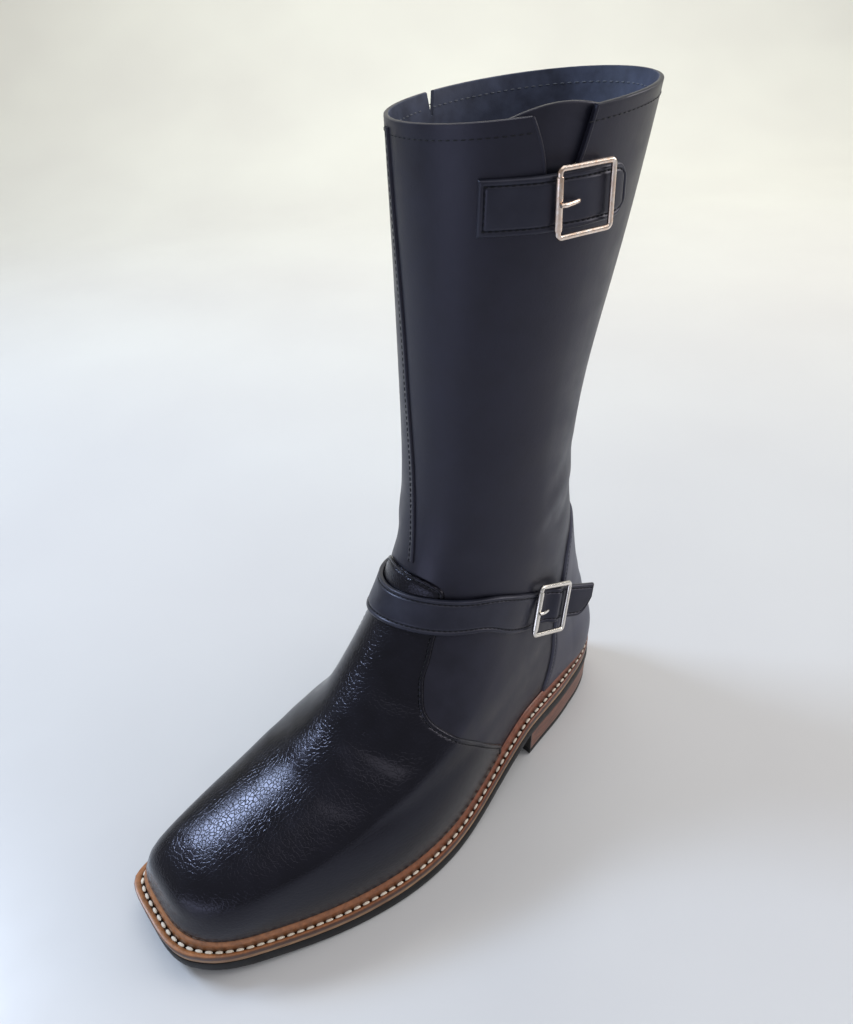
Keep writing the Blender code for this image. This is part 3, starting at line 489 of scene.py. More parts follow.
def leather(name, dark, light, roughness, shine, grain, depth, wrinkle=0.0):
    """Box calf: blue black and polished, with fine pores and shallow creases that break up its highlights."""
    made, tree, shader = new_material(
        name, Roughness=roughness, Specular_IOR_Level=shine, Specular_Tint=colour("E6E4FF"), Coat_Weight=0.04,
        Coat_Roughness=0.2,
    )
    here = place(tree)
    drift = add(tree, "ShaderNodeTexNoise", {"Vector": here, "Scale": 1 / 0.012, "Detail": 3.0})
    shade = ramp(tree, drift.outputs["Fac"], ((0.3, colour(dark)), (0.72, colour(light))))
    tree.links.new(shade, shader.inputs["Base Color"])
    gloss = add(
        tree, "ShaderNodeMapRange",
        {"Value": drift.outputs["Fac"], "From Min": 0.3, "From Max": 0.7, "To Min": roughness - 0.05,
         "To Max": roughness + 0.06},
    )
    tree.links.new(gloss.outputs["Result"], shader.inputs["Roughness"])
    wave = add(tree, "ShaderNodeTexNoise", {"Vector": here, "Scale": 1 / (3 * grain * MM), "Detail": 2.0})
    bent = add(tree, "ShaderNodeVectorMath", {0: wave.outputs["Color"]}, operation="SCALE")
    bent.inputs["Scale"].default_value = grain * MM
    moved = add(tree, "ShaderNodeVectorMath", {0: here, 1: bent.outputs["Vector"]}, operation="ADD")
    pores = add(
        tree, "ShaderNodeTexVoronoi", {"Vector": moved.outputs["Vector"], "Scale": 1 / (grain * MM)},
        feature="SMOOTH_F1",
    )
    soft = add(tree, "ShaderNodeTexNoise", {"Vector": here, "Scale": 1 / 0.007, "Detail": 2.0, "Roughness": 0.6})
    low = add(tree, "ShaderNodeBump", {"Height": soft.outputs["Fac"], "Strength": 0.5, "Distance": 0.0001})
    fine = add(
        tree, "ShaderNodeBump",
        {"Height": pores.outputs["Distance"], "Strength": 0.55, "Distance": depth * MM,
         "Normal": low.outputs["Normal"]},
        invert=True,
    )
    last = fine
    if wrinkle:
        lines = add(
            tree, "ShaderNodeTexVoronoi",
            {"Vector": moved.outputs["Vector"], "Scale": 1 / (2.6 * grain * MM)}, feature="DISTANCE_TO_EDGE",
        )
        narrow = add(
            tree, "ShaderNodeMapRange", {"Value": lines.outputs["Distance"], "From Min": 0.0, "From Max": 0.12}
        )
        last = add(
            tree, "ShaderNodeBump",
            {"Height": narrow.outputs["Result"], "Strength": wrinkle, "Distance": 0.0001,
             "Normal": fine.outputs["Normal"]},
        )
    tree.links.new(last.outputs["Normal"], shader.inputs["Normal"])
    return made


def add_bump(tree, shader, height, strength, distance):
    """Fine relief of a finish, from a texture's height."""
    bump = add(tree, "ShaderNodeBump", {"Height": height, "Strength": strength, "Distance": distance})
    tree.links.new(bump.outputs["Normal"], shader.inputs["Normal"])


def lining_leather():
    """Pigskin lining: matt and dull blue, with a fine nap."""
    made, tree, shader = new_material("pigskin lining", Roughness=0.62, Specular_IOR_Level=0.35)
    here = place(tree)
    drift = add(tree, "ShaderNodeTexNoise", {"Vector": here, "Scale": 1 / 0.009, "Detail": 4.0})
    shade = ramp(tree, drift.outputs["Fac"], ((0.3, colour("353A4C")), (0.7, colour("4E556C"))))
    tree.links.new(shade, shader.inputs["Base Color"])
    nap = add(tree, "ShaderNodeTexNoise", {"Vector": here, "Scale": 1 / 0.0006, "Detail": 2.0})
    add_bump(tree, shader, nap.outputs["Fac"], 0.5, 0.0001)
    return made


def welt_leather():
    """Waxed welting: tan at the worn toe, red brown towards the heel, dark in the stitch groove."""
    made, tree, shader = new_material("waxed welt leather", Roughness=0.42, Coat_Weight=0.25, Coat_Roughness=0.25)
    here = place(tree)
    parts = add(tree, "ShaderNodeSeparateXYZ", {"Vector": here})
    way = add(
        tree, "ShaderNodeMapRange", {"Value": parts.outputs["Y"], "From Min": -0.27, "From Max": 0.05}
    )
    length = ramp(tree, way.outputs["Result"], (
        (0.0, colour("B97A4A")), (0.25, colour("A86A42")), (0.55, colour("8F4F34")), (1.0, colour("84452F")),
    ))
    streak = add(tree, "ShaderNodeTexNoise", {"Vector": here, "Scale": 1 / 0.003, "Detail": 4.0, "Roughness": 0.7})
    worn = ramp(tree, streak.outputs["Fac"], ((0.3, colour("8C8C8C")), (0.7, colour("FFFFFF"))))
    shade = multiplied(tree, 0.7, length, worn)
    share = add(tree, "ShaderNodeAttribute", attribute_name="share")
    # Painted shade: the colour goes near black in the stitch groove and a little darker just beside it.
    groove = ramp(tree, share.outputs["Fac"], (
        (0.0, colour("FFFFFF")), (0.46, colour("FFFFFF")), (0.53, colour("2A1A14")), (0.64, colour("2A1A14")),
        (0.72, colour("E8E8E8")), (0.94, colour("FFFFFF")), (1.0, colour("7A6A60")),
    ))
    tree.links.new(multiplied(tree, 1.0, shade, groove), shader.inputs["Base Color"])
    add_bump(tree, shader, streak.outputs["Fac"], 0.5, 0.0003)
    return made


def edge_leather(name, light, dark, layer, breast=None):
    """Cut leather edges, burnished: layers show as bands, and a heel's front face is inked black."""
    made, tree, shader = new_material(name, Roughness=0.45, Coat_Weight=0.15, Coat_Roughness=0.3)
    here = place(tree)
    parts = add(tree, "ShaderNodeSeparateXYZ", {"Vector": here})
    squeeze = add(tree, "ShaderNodeMapping", {"Vector": here, "Scale": (1.0, 1.0, 7.0)})
    fibre = add(
        tree, "ShaderNodeTexNoise", {"Vector": squeeze.outputs["Vector"], "Scale": 1 / 0.008, "Detail": 5.0}
    )
    shade = ramp(tree, fibre.outputs["Fac"], ((0.3, colour(dark)), (0.7, colour(light))))
    if layer:
        turns = add(tree, "ShaderNodeMath", {0: parts.outputs["Z"], 1: 1 / (layer * MM)},
                    operation="MULTIPLY")
        part = add(tree, "ShaderNodeMath", {0: turns.outputs[0]}, operation="FRACT")
        line = ramp(tree, part.outputs[0], (
            (0.0, colour("5A4A42")), (0.08, colour("FFFFFF")), (0.9, colour("F0E8E0")),
            (1.0, colour("5A4A42")),
        ))
        shade = multiplied(tree, 0.9, shade, line)
    if breast is not None:
        front = add(tree, "ShaderNodeMath", {0: parts.outputs["Y"], 1: breast * MM}, operation="LESS_THAN")
        shade = add(
            tree, "ShaderNodeMix", {"Factor": front.outputs[0], "A": shade, "B": colour("17120F")},
            data_type="RGBA"
        ).outputs[2]
    tree.links.new(shade, shader.inputs["Base Color"])
    add_bump(tree, shader, fibre.outputs["Fac"], 0.4, 0.0003)
    return made


def moulded_rubber():
    """Moulded rubber: near black and matt, with a faint bloom."""
    made, tree, shader = new_material("moulded black rubber", Roughness=0.55, Specular_IOR_Level=0.4)
    here = place(tree)
    bloom = add(tree, "ShaderNodeTexNoise", {"Vector": here, "Scale": 1 / 0.01, "Detail": 4.0})
    shade = ramp(tree, bloom.outputs["Fac"], ((0.35, colour("0E0E10")), (0.75, colour("1D1D20"))))
    tree.links.new(shade, shader.inputs["Base Color"])
    fine = add(tree, "ShaderNodeTexNoise", {"Vector": here, "Scale": 1 / 0.0012, "Detail": 3.0})
    add_bump(tree, shader, fine.outputs["Fac"], 0.35, 0.0001)
    return made


def plated_metal(name, code, roughness):
    """Plated wire: mirror bright, with faint rubs from the leather."""
    made, tree, shader = new_material(name, Metallic=1.0, Roughness=roughness)
    here = place(tree)
    rubs = add(tree, "ShaderNodeTexNoise", {"Vector": here, "Scale": 1 / 0.0025, "Detail": 4.0, "Roughness": 0.7})
    shade = ramp(tree, rubs.outputs["Fac"], ((0.3, colour(code)), (0.75, colour("F4EEE8"))))
    tree.links.new(shade, shader.inputs["Base Color"])
    gloss = add(
        tree, "ShaderNodeMapRange",
        {"Value": rubs.outputs["Fac"], "To Min": roughness - 0.05, "To Max": roughness + 0.12},
    )
    tree.links.new(gloss.outputs["Result"], shader.inputs["Roughness"])
    add_bump(tree, shader, rubs.outputs["Fac"], 0.15, 0.00008)
    return made


def waxed_thread(name, code, dull):
    """Waxed linen thread: pale strands with darker lay lines between them."""
    made, tree, shader = new_material(name, Roughness=0.6, Specular_IOR_Level=0.3)
    here = place(tree)
    lay = add(
        tree, "ShaderNodeTexWave", {"Vector": here, "Scale": 1 / 0.0012, "Distortion": 1.0},
        bands_direction="DIAGONAL"
    )
    shade = ramp(tree, lay.outputs["Fac"], ((0.2, colour(dull)), (0.7, colour(code))))
    tree.links.new(shade, shader.inputs["Base Color"])
    add_bump(tree, shader, lay.outputs["Fac"], 0.3, 0.0001)
    return made


def woven_tape():
    """Zip tape: close woven polyester, whose ribs catch a little light."""
    made, tree, shader = new_material("woven zip tape", Roughness=0.8, Sheen_Weight=0.2)
    here = place(tree)
    ribs = add(tree, "ShaderNodeTexWave", {"Vector": here, "Scale": 1 / 0.0016}, bands_direction="Z")
    shade = ramp(tree, ribs.outputs["Fac"], ((0.2, colour("0F1014")), (0.8, colour("262830"))))
    tree.links.new(shade, shader.inputs["Base Color"])
    add_bump(tree, shader, ribs.outputs["Fac"], 0.5, 0.0002)
    return made


MATERIALS = {}


def make_materials():
    MATERIALS.update(
        shaft=leather("box calf shaft", "0D0E16", "161722", 0.42, 0.55, 0.75, 0.035),
        vamp=leather("polished box calf vamp", "09090D", "0F0F15", 0.2, 0.36, 0.8, 0.045, wrinkle=0.45),
        # Painted sheen: the counter is the shaft's box calf, coloured lighter to stand in for the floor's reflection
        # on it.
        counter=leather("box calf counter painted sheen", "2C2D38", "3C3E4B", 0.46, 0.7, 0.75, 0.035),
        strap=leather("box calf strap", "171922", "242630", 0.38, 0.5, 0.7, 0.03),
        lining=lining_leather(),
        welt=welt_leather(),
        midsole=edge_leather("midsole edge", "B08A66", "7E5A40", 0),
        stack=edge_leather("stacked leather heel", "8C5238", "52291B", 3.6, breast=HEEL_BREAST_Y + 0.9),
        insole=edge_leather("insole board", "7C624A", "54402E", 0),
        rubber=moulded_rubber(),
        silver=plated_metal("bright nickel plate", "DCD8D0", 0.16),
        champagne=plated_metal("pale gold plate", "D8B8A0", 0.18),
        zip=plated_metal("zip nickel", "A8A8AA", 0.25),
        cream=waxed_thread("cream waxed thread", "FFF9EE", "D0C4B0"),
        black_thread=waxed_thread("black waxed thread", "1C1E26", "08090C"),
        grey_thread=waxed_thread("grey thread", "7C828E", "3C404A"),
        tape=woven_tape(),
    )


def mesh_from(name, points, faces, materials, owners=None, sharp=40, share=None):
    """A piece from points in millimetres, with its doubles merged and its faces turned outwards."""
    mesh = bpy.data.meshes.new(name)
    mesh.from_pydata((np.asarray(points, float) * MM).tolist(), [], faces)
    for item in materials:
        mesh.materials.append(item)
    if owners is not None:
        mesh.polygons.foreach_set("material_index", np.asarray(owners, np.int32))
    if share is not None:
        mesh.attributes.new("share", "FLOAT", "POINT").data.foreach_set("value",
                                                                        np.asarray(share, np.float32))
    work = bmesh.new()
    work.from_mesh(mesh)
    bmesh.ops.remove_doubles(work, verts=work.verts, dist=2e-6)
    bmesh.ops.dissolve_degenerate(work, edges=work.edges, dist=1e-7)
    bmesh.ops.recalc_face_normals(work, faces=work.faces)
    work.to_mesh(mesh)
    work.free()
    mesh.shade_smooth()
    mesh.set_sharp_from_angle(angle=np.radians(sharp))
    made = bpy.data.objects.new(name, mesh)
    bpy.context.scene.collection.objects.link(made)
    return made


def grid_faces(rows, columns, wrap=False, start=0, flip=False):
    row, column = np.meshgrid(np.arange(rows - 1), np.arange(columns if wrap else columns - 1), indexing="ij")
    beside = (column + 1) % columns
    quads = np.stack([row * columns + column, row * columns + beside, (row + 1) * columns + beside,
                      (row + 1) * columns + column], -1).reshape(-1, 4) + start
    return (quads[:, ::-1] if flip else quads).tolist()


def border(rows, columns, start):
    """Indices round the edge of a grid."""
    index = np.arange(rows * columns).reshape(rows, columns) + start
    return np.concatenate([index[0, :-1], index[:-1, -1], index[-1, :0:-1], index[:0:-1, 0]])


def closed_sheet(name, outer, inner, materials):
    """A solid between two grids of points, closed round their edges."""
    rows, columns = outer.shape[:2]
    count = rows * columns
    faces = grid_faces(rows, columns) + grid_faces(rows, columns, start=count, flip=True)
    around, inside_edge = border(rows, columns, 0), border(rows, columns, count)
    for i in range(len(around)):
        j = (i + 1) % len(around)
        faces.append((int(around[j]), int(around[i]), int(inside_edge[i]), int(inside_edge[j])))
    return mesh_from(name, np.concatenate([outer.reshape(-1, 3), inner.reshape(-1, 3)]), faces, materials)


def ring_sheet(name, loops, materials, share=None):
    """A closed ring through loops of points and back to the first; share gives each loop's own value."""
    loops = np.array(loops)
    rows, columns = loops.shape[:2]
    faces = grid_faces(rows + 1, columns, wrap=True)
    faces = [tuple(i % (rows * columns) for i in face) for face in faces]
    values = None if share is None else np.repeat(share, columns)
    return mesh_from(name, loops.reshape(-1, 3), faces, materials, share=values)


def capped_loops(name, loops, materials, sharp=40):
    """A solid through loops that each mirror their first half in their second, closed at both ends."""
    loops = np.array(loops)
    rows, columns = loops.shape[:2]
    faces = grid_faces(rows, columns, wrap=True)
    for start in (0, (rows - 1) * columns):
        for i in range(columns // 2):
            face = (start + i, start + i + 1, start + (columns - i - 1) % columns,
                    start + (columns - i) % columns)
            faces.append(tuple(dict.fromkeys(face)))
    return mesh_from(name, loops.reshape(-1, 3), [face for face in faces if len(face) > 2], materials,
                     sharp=sharp)


def wire(name, path, radius, materials, closed=False, sides=12, flat=1.0, up=None):
    """A round or flattened wire along points; its radius may be one number or one a point."""
    path = np.asarray(path, float)
    count = len(path)
    radius = np.broadcast_to(np.asarray(radius, float), count)
    if closed:
        tangent = unit(np.roll(path, -1, 0) - np.roll(path, 1, 0))
    else:
        tangent = unit(np.gradient(path, axis=0))
    side = np.asarray(up if up is not None else (0.0, 0.0, 1.0), float)
    side = np.broadcast_to(side, (count, 3))
    across = unit(np.cross(tangent, side))
    lift = unit(np.cross(across, tangent))
    turn = np.arange(sides) * 2 * np.pi / sides
    ring = np.cos(turn)[None, :, None] * across[:, None] + flat * np.sin(turn)[None, :, None] * lift[:, None]
    points = path[:, None] + radius[:, None, None] * ring
    if closed:
        return ring_sheet(name, points, materials)
    faces = grid_faces(count, sides, wrap=True)
    faces += [tuple(range(sides)), tuple((count - 1) * sides + i for i in range(sides))]
    return mesh_from(name, points.reshape(-1, 3), faces, materials)


def stitch_tree():
    """Nodes that lay beads along a line: stitches, or the teeth of a zip."""
    tree = bpy.data.node_groups.new("Stitch Row", "GeometryNodeTree")
    tree.is_modifier = True
    face = tree.interface
    face.new_socket("Geometry", in_out="INPUT", socket_type="NodeSocketGeometry")
    for name in ("Pitch", "Length", "Width", "Height"):
        face.new_socket(name, in_out="INPUT", socket_type="NodeSocketFloat")
    face.new_socket("Thread", in_out="INPUT", socket_type="NodeSocketMaterial")
    face.new_socket("Geometry", in_out="OUTPUT", socket_type="NodeSocketGeometry")
    start = add(tree, "NodeGroupInput").outputs
    line = add(tree, "GeometryNodeMeshToCurve", {"Mesh": start["Geometry"]})
    spaced = add(
        tree, "GeometryNodeResampleCurve", {"Curve": line.outputs["Curve"], "Length": start["Pitch"]},
        mode="LENGTH"
    )
    along = add(tree, "GeometryNodeInputTangent")
    outward = add(tree, "GeometryNodeInputNamedAttribute", {"Name": "outward"}, data_type="FLOAT_VECTOR")
    turn = add(tree, "FunctionNodeAlignRotationToVector", {"Vector": along.outputs[0]}, axis="X")
    roll = add(
        tree, "FunctionNodeAlignRotationToVector", {"Rotation": turn.outputs[0], "Vector": outward.outputs[0]},
        axis="Z", pivot_axis="X",
    )
    size = add(
        tree, "ShaderNodeCombineXYZ", {"X": start["Length"], "Y": start["Width"], "Z": start["Height"]}
    )
    bead = add(tree, "GeometryNodeMeshUVSphere", {"Segments": 8, "Rings": 6, "Radius": 0.5})
    laid = add(
        tree, "GeometryNodeInstanceOnPoints",
        {"Points": spaced.outputs["Curve"], "Instance": bead.outputs["Mesh"], "Rotation": roll.outputs[0],
         "Scale": size.outputs[0]},
    )
    real = add(tree, "GeometryNodeRealizeInstances", {"Geometry": laid.outputs[0]})
    done = add(
        tree, "GeometryNodeSetMaterial", {"Geometry": real.outputs[0], "Material": start["Thread"]}
    )
    add(tree, "NodeGroupOutput", {"Geometry": done.outputs[0]})
    return tree


def stitches(name, lines, pitch, length, width, height, thread):
    """Rows of stitches along lines, each given by its points, outward directions and whether it closes."""
    points, outward, edges = [], [], []
    for path, out, closed in lines:
        start = len(points)
        points.extend((np.asarray(path) * MM).tolist())
        outward.extend(np.asarray(out, float).reshape(-1).tolist())
        edges.extend((start + i, start + i + 1) for i in range(len(path) - 1))
        if closed:
            edges.append((start + len(path) - 1, start))
    mesh = bpy.data.meshes.new(name)
    mesh.from_pydata(points, edges, [])
    mesh.attributes.new("outward", "FLOAT_VECTOR", "POINT").data.foreach_set("vector", outward)
    guide = bpy.data.objects.new(name + " guide", mesh)
    bpy.context.scene.collection.objects.link(guide)
    tree = bpy.data.node_groups.get("Stitch Row") or stitch_tree()
    modifier = guide.modifiers.new("Stitches", "NODES")
    modifier.node_group = tree
    sizes = {"Pitch": pitch * MM, "Length": length * MM, "Width": width * MM, "Height": height * MM,
             "Thread": thread}
    for item in tree.interface.items_tree:
        if item.item_type == "SOCKET" and item.in_out == "INPUT" and item.name in sizes:
            modifier[item.identifier] = sizes[item.name]
    bpy.context.view_layer.update()
    graph = bpy.context.evaluated_depsgraph_get()
    result = bpy.data.meshes.new_from_object(guide.evaluated_get(graph))
    bpy.data.objects.remove(guide)
    result.name = name
    result.shade_smooth()
    made = bpy.data.objects.new(name, result)
    bpy.context.scene.collection.objects.link(made)
    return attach(made, BODY)


def frame_axes(turn, lean, roll):
    """Outward, sideways (to the back) and up axes of a flat piece, from angles in degrees."""
    turn, lean, roll = np.radians([turn, lean, roll])
    out = np.array([np.cos(turn) * np.cos(lean), np.sin(turn) * np.cos(lean), np.sin(lean)])
    level = np.array([-np.sin(turn), np.cos(turn), 0])
    upright = np.cross(out, level)
    side = level * np.cos(roll) + upright * np.sin(roll)
    return out, side, upright * np.cos(roll) - level * np.sin(roll)


def side_prism(name, outline, x_from, x_to):
    """A cutter with this side outline, from one x to another."""
    count = len(outline)
    points = [(x, y, z) for x in (x_from, x_to) for y, z in outline]
    faces = [tuple(range(count)), tuple(range(count, 2 * count))]
    faces += [(i, (i + 1) % count, count + (i + 1) % count, count + i) for i in range(count)]
    return mesh_from(name, points, faces, [])


def cut_away(target, cutter):
    modifier = target.modifiers.new(cutter.name, "BOOLEAN")
    modifier.operation = "DIFFERENCE"
    modifier.object = cutter
    modifier.solver = "EXACT"
    graph = bpy.context.evaluated_depsgraph_get()
    mesh = bpy.data.meshes.new_from_object(target.evaluated_get(graph))
    target.modifiers.clear()
    target.data = mesh
    bpy.data.objects.remove(cutter)


def make_upper(sizes):
    """Hollow leather upper: outer face, rolled collar, lining face and rim."""
    wall = sizes.wall / MM
    levels = np.concatenate([np.linspace(0, 12, 120), np.linspace(12, 15.5, 84)[1:],
                             np.linspace(15.5, TOP, 22)[1:]])
    columns = 264
    shares = np.tile(np.arange(columns) / columns, (len(levels), 1))
    theta, _ = even_angles(levels, np.zeros(len(levels)), np.full(len(levels), 2 * np.pi), shares)
    outer = skin(levels[:, None], theta, 0.0)
    collar = theta[-1]
    roll = [
        skin(np.full(columns, TOP), collar, lift) + [0, 0, height]
        for lift, height in ((-0.05, 0.25), (-0.4, 0.5), (-wall / 2, 0.6), (0.4 - wall, 0.5), (0.05 - wall, 0.25))
    ]
    inner_rows = np.arange(len(levels) - 1, -1, -4)
    inner = skin(levels[inner_rows, None], theta[inner_rows], -wall)
    loops = np.concatenate([outer, np.array(roll), inner])
    rows = len(loops)
    faces = grid_faces(rows + 1, columns, wrap=True)
    faces = [tuple(i % (rows * columns) for i in face) for face in faces]
    lining_from = len(outer) + 3
    owners = [0 if i // columns < lining_from else 1 for i in range(len(faces))]
    upper = mesh_from(
        "upper_leather", loops.reshape(-1, 3), faces, [MATERIALS["shaft"], MATERIALS["lining"]], owners
    )
    cut_away(upper, side_prism("notch cutter", NOTCH_OUTLINE, 20, 90))
    cut_away(upper, side_prism("zip mouth cutter", ZIP_MOUTH_OUTLINE, -90, -30))
    upper.data.shade_smooth()
    upper.data.set_sharp_from_angle(angle=np.radians(40))
    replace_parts(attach(upper, BODY), "upper")

    beads = [
        (np.array(side_line(NOTCH_OUTLINE[1:5], 1, -0.4)), "notch_front_edge"),
        (np.array(side_line(NOTCH_OUTLINE[7:10], 1, -0.4)), "notch_back_edge"),
    ]
    for path, name in beads:
        edge = wire(name, path, 0.75, [MATERIALS["shaft"]])
        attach(edge, BODY)


def side_line(corners, side, lift, count=60, smooth=True):
    """A line over the creased face through corners given as y and z."""
    corners = np.array(corners, float)
    length = np.append(0, np.cumsum(np.linalg.norm(np.diff(corners, axis=0), axis=1)))
    steps = np.linspace(0, length[-1], count)
    if smooth and len(corners) > 2:
        y, z = spline(length, corners, steps).T
    else:
        y, z = (np.interp(steps, length, corners[:, i]) for i in (0, 1))
    level, theta = side_place(y, z, side)
    return skin(level, theta, lift)


def edge_drop(distance, depth, groove=1.0):
    """Depth of a leather edge below its face, as a share of its thickness near the edge."""
    away, drop = np.array(EDGE_DEPTH).T
    found = np.interp(distance, away, drop)
    return np.where(distance < 1.5, found * depth, found * groove)


def overlay(name, outline, low, from_front, thickness, finish, node, slot):
    """An overlay of leather on the upper, with a rounded edge and a stitched groove inside it."""
    probe = 0.0 if from_front else np.pi
    top, beyond = 8.0, 14.0
    for _ in range(30):
        middle = (top + beyond) / 2
        point = form(np.array([middle]), np.array([probe]))
        if inside(outline, point[:, 1], point[:, 2])[0]:
            top = middle
        else:
            beyond = middle
    fine = np.concatenate([np.linspace(low, top - 0.3, 200),
                           top - 0.3 * (1 - np.linspace(0, 1, 160)[1:]) ** 2])
    fine[-1] = top - 1e-4
    angles = edge_angle(fine, outline, from_front)
    line = form(fine, angles)
    step = np.linalg.norm(np.diff(line, axis=0), axis=1) + 14 * np.diff(fine)
    length = np.append(0, np.cumsum(step))
    rows = 240
    levels = np.interp(np.linspace(0, length[-1], rows), length, fine)
    reach = edge_angle(levels, outline, from_front)
    if from_front:
        start, end = -reach, reach
    else:
        start, end = reach, 2 * np.pi - reach
    _, width = even_angles(levels, start, end, np.zeros((rows, 1)))
    near = np.array([distance for distance, _ in EDGE_DEPTH])
    scaled = near[None, :] * np.minimum(1, width[:, None] / 14) / np.maximum(width[:, None], 1e-6)
    middle = np.linspace(0, 1, 110)[None, 1:-1] * (1 - 2 * scaled[:, -1:]) + scaled[:, -1:]
    shares = np.concatenate([scaled, middle, 1 - scaled[:, ::-1]], axis=1)
    theta, _ = even_angles(levels, start, end, shares)
    base = form(levels[:, None], theta)
    edge = np.concatenate([form(levels, reach), form(levels, -reach)])
    flat = base.reshape(-1, 3)
    away = np.full(len(flat), 99.0)
    for chunk in range(0, len(flat), 4000):
        part = flat[chunk:chunk + 4000]
        gap = np.linalg.norm(part[:, None] - edge[None], axis=-1)
        away[chunk:chunk + 4000] = gap.min(axis=1)
    away = np.clip(away.reshape(base.shape[:2]) - 0.25, 0, None)
    lift = 0.25 + thickness - edge_drop(away, thickness + 0.1)
    outer = skin(levels[:, None], theta, lift)
    inner = skin(levels[:, None], theta, 0.15)
    piece = closed_sheet(name, outer, inner, [finish])
    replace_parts(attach(piece, BODY), node)

    rim = levels > low + 0.05
    rows_in, lines = levels[rim], []
    for side, reach_in in ((1, reach[rim]), (-1, -reach[rim] if from_front else 2 * np.pi - reach[rim])):
        path = form(rows_in, reach_in)
        out = normals(rows_in, reach_in)
        along = unit(np.gradient(path, axis=0))
        inward = np.cross(out, along)
        inward *= np.sign((inward * (form(rows_in, np.full(len(rows_in), probe)) - path)).sum(-1,
                                                                                              keepdims=True))
        seat = path + inward * GROOVE_INSET + out * (relief(path)[:, None] + 0.25 + thickness - 0.2)
        keep = np.linalg.norm(np.diff(seat, axis=0), axis=1) > 1e-4
        lines.append((seat[:-1][keep], out[:-1][keep], False))
    stitches(name + "_stitches", lines, *OVERLAY_STITCH, MATERIALS["black_thread"])


def strip(name, top, middle, bottom, thickness, finish, groove=0.32, end_groove=True, rows=260):
    """A strap through stations of its outer face, with rounded edges and a border groove."""
    centre = (top + bottom) / 2
    length = np.append(0, np.cumsum(np.linalg.norm(np.diff(centre, axis=0), axis=1)))
    ends = np.array([distance for distance, _ in EDGE_DEPTH[:-1]])
    inside_steps = np.linspace(STRAP_MARGIN, length[-1] - STRAP_MARGIN, rows)
    steps = np.concatenate([ends, inside_steps, length[-1] - ends[::-1]])
    weights = spline_weights(length, steps)
    high, mid, low = weights @ top, weights @ middle, weights @ bottom
    tall = np.linalg.norm(high - low, axis=1)
    near = np.append(ends, STRAP_MARGIN)
    scaled = near[None, :] * np.minimum(1, tall[:, None] / 9) / tall[:, None]
    centre_share = np.linspace(0, 1, 12)[None, 1:-1] * (1 - 2 * scaled[:, -1:]) + scaled[:, -1:]
    shares = np.concatenate([scaled, centre_share, 1 - scaled[:, ::-1]], axis=1)[..., None]
    face = across_strap(low[:, None], mid[:, None], high[:, None], shares)
    along = np.gradient(face, axis=0)
    across = np.gradient(face, axis=1)
    out = unit(np.cross(across, along))
    outward = face.mean(axis=1, keepdims=True) - np.array([0, -15.0, 0]) * [1, 1, 0]
    outward[..., 2] = 0
    out *= np.sign((out * outward).sum(-1, keepdims=True))
    edge = np.minimum(shares[..., 0], 1 - shares[..., 0]) * tall[:, None]
    to_end = np.minimum(steps, length[-1] - steps)
    if not end_groove:
        to_end = np.where((to_end > 1.2) & (steps > length[-1] / 2), 9.0, to_end)
    distance = np.minimum(edge, to_end[:, None])
    drop = edge_drop(distance, thickness * 0.55, groove / 0.32)
    outer = face - drop[..., None] * out
    inner = face - thickness * out
    return closed_sheet(name, outer, inner, [finish]), (steps, high, mid, low, out)


def across_strap(low, mid, high, share):
    """Points at a share of the way up a strap, on the curve through its lower edge, middle and upper edge."""
    return low * (1 - share) * (1 - 2 * share) + mid * 4 * share * (1 - share) + high * share * (2 * share - 1)


def border_line(face_data, inset, lift, ends=(True, False)):
    """A stitch line round a strap, inset from its edges."""
    steps, high, mid, low, out = face_data
    keep = (steps > inset) & (steps < steps[-1] - inset)
    high, mid, low = high[keep], mid[keep], low[keep]
    normal = out[keep][:, out.shape[1] // 2]
    tall = np.linalg.norm(high - low, axis=1)
    lines = []
    for share in (inset / tall, 1 - inset / tall):
        share = share[:, None]
        path = across_strap(low, mid, high, share)
        lines.append((path + lift * normal, normal, False))
    if ends[0]:
        share = np.linspace(inset / tall[0], 1 - inset / tall[0], 14)[:, None]
        path = across_strap(low[0], mid[0], high[0], share)
        lines.append((path + lift * normal[0], np.tile(normal[0], (14, 1)), False))
    return lines


def make_ankle_strap(sizes):
    thick = sizes.strap / MM
    rows = np.array(ANKLE_STRAP, float)
    angle = np.arange(-8, 13) * 360 / 44
    high, low, lift = (spline(rows[:, 0], rows[:, i], angle) for i in (1, 2, 3))
    top, middle, bottom = (on_form(angle, z, lift + thick) for z in (high, (high + low) / 2, low))
    out, side, up = frame_axes(ANKLE_BUCKLE["turn"], ANKLE_BUCKLE["lean"], ANKLE_BUCKLE["roll"])
    end = np.array(ANKLE_STRAP_END)
    place_at = np.array(ANKLE_BUCKLE["centre"]) + end[:, :1] * side + end[:, 1:2] * out
    end_top, end_bottom = place_at + end[:, 2:3] * up, place_at + end[:, 3:4] * up
    top = np.concatenate([top, end_top])
    bottom = np.concatenate([bottom, end_bottom])
    middle = np.concatenate([middle, (end_top + end_bottom) / 2])
    strap, data = strip("ankle_strap_leather", top, middle, bottom, thick, MATERIALS["strap"], end_groove=False)
    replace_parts(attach(strap, BODY), "ankle_strap")
    stitches(
        "ankle_strap_stitches", border_line(data, GROOVE_INSET, -0.25), *STRAP_STITCH,
        MATERIALS["black_thread"]
    )


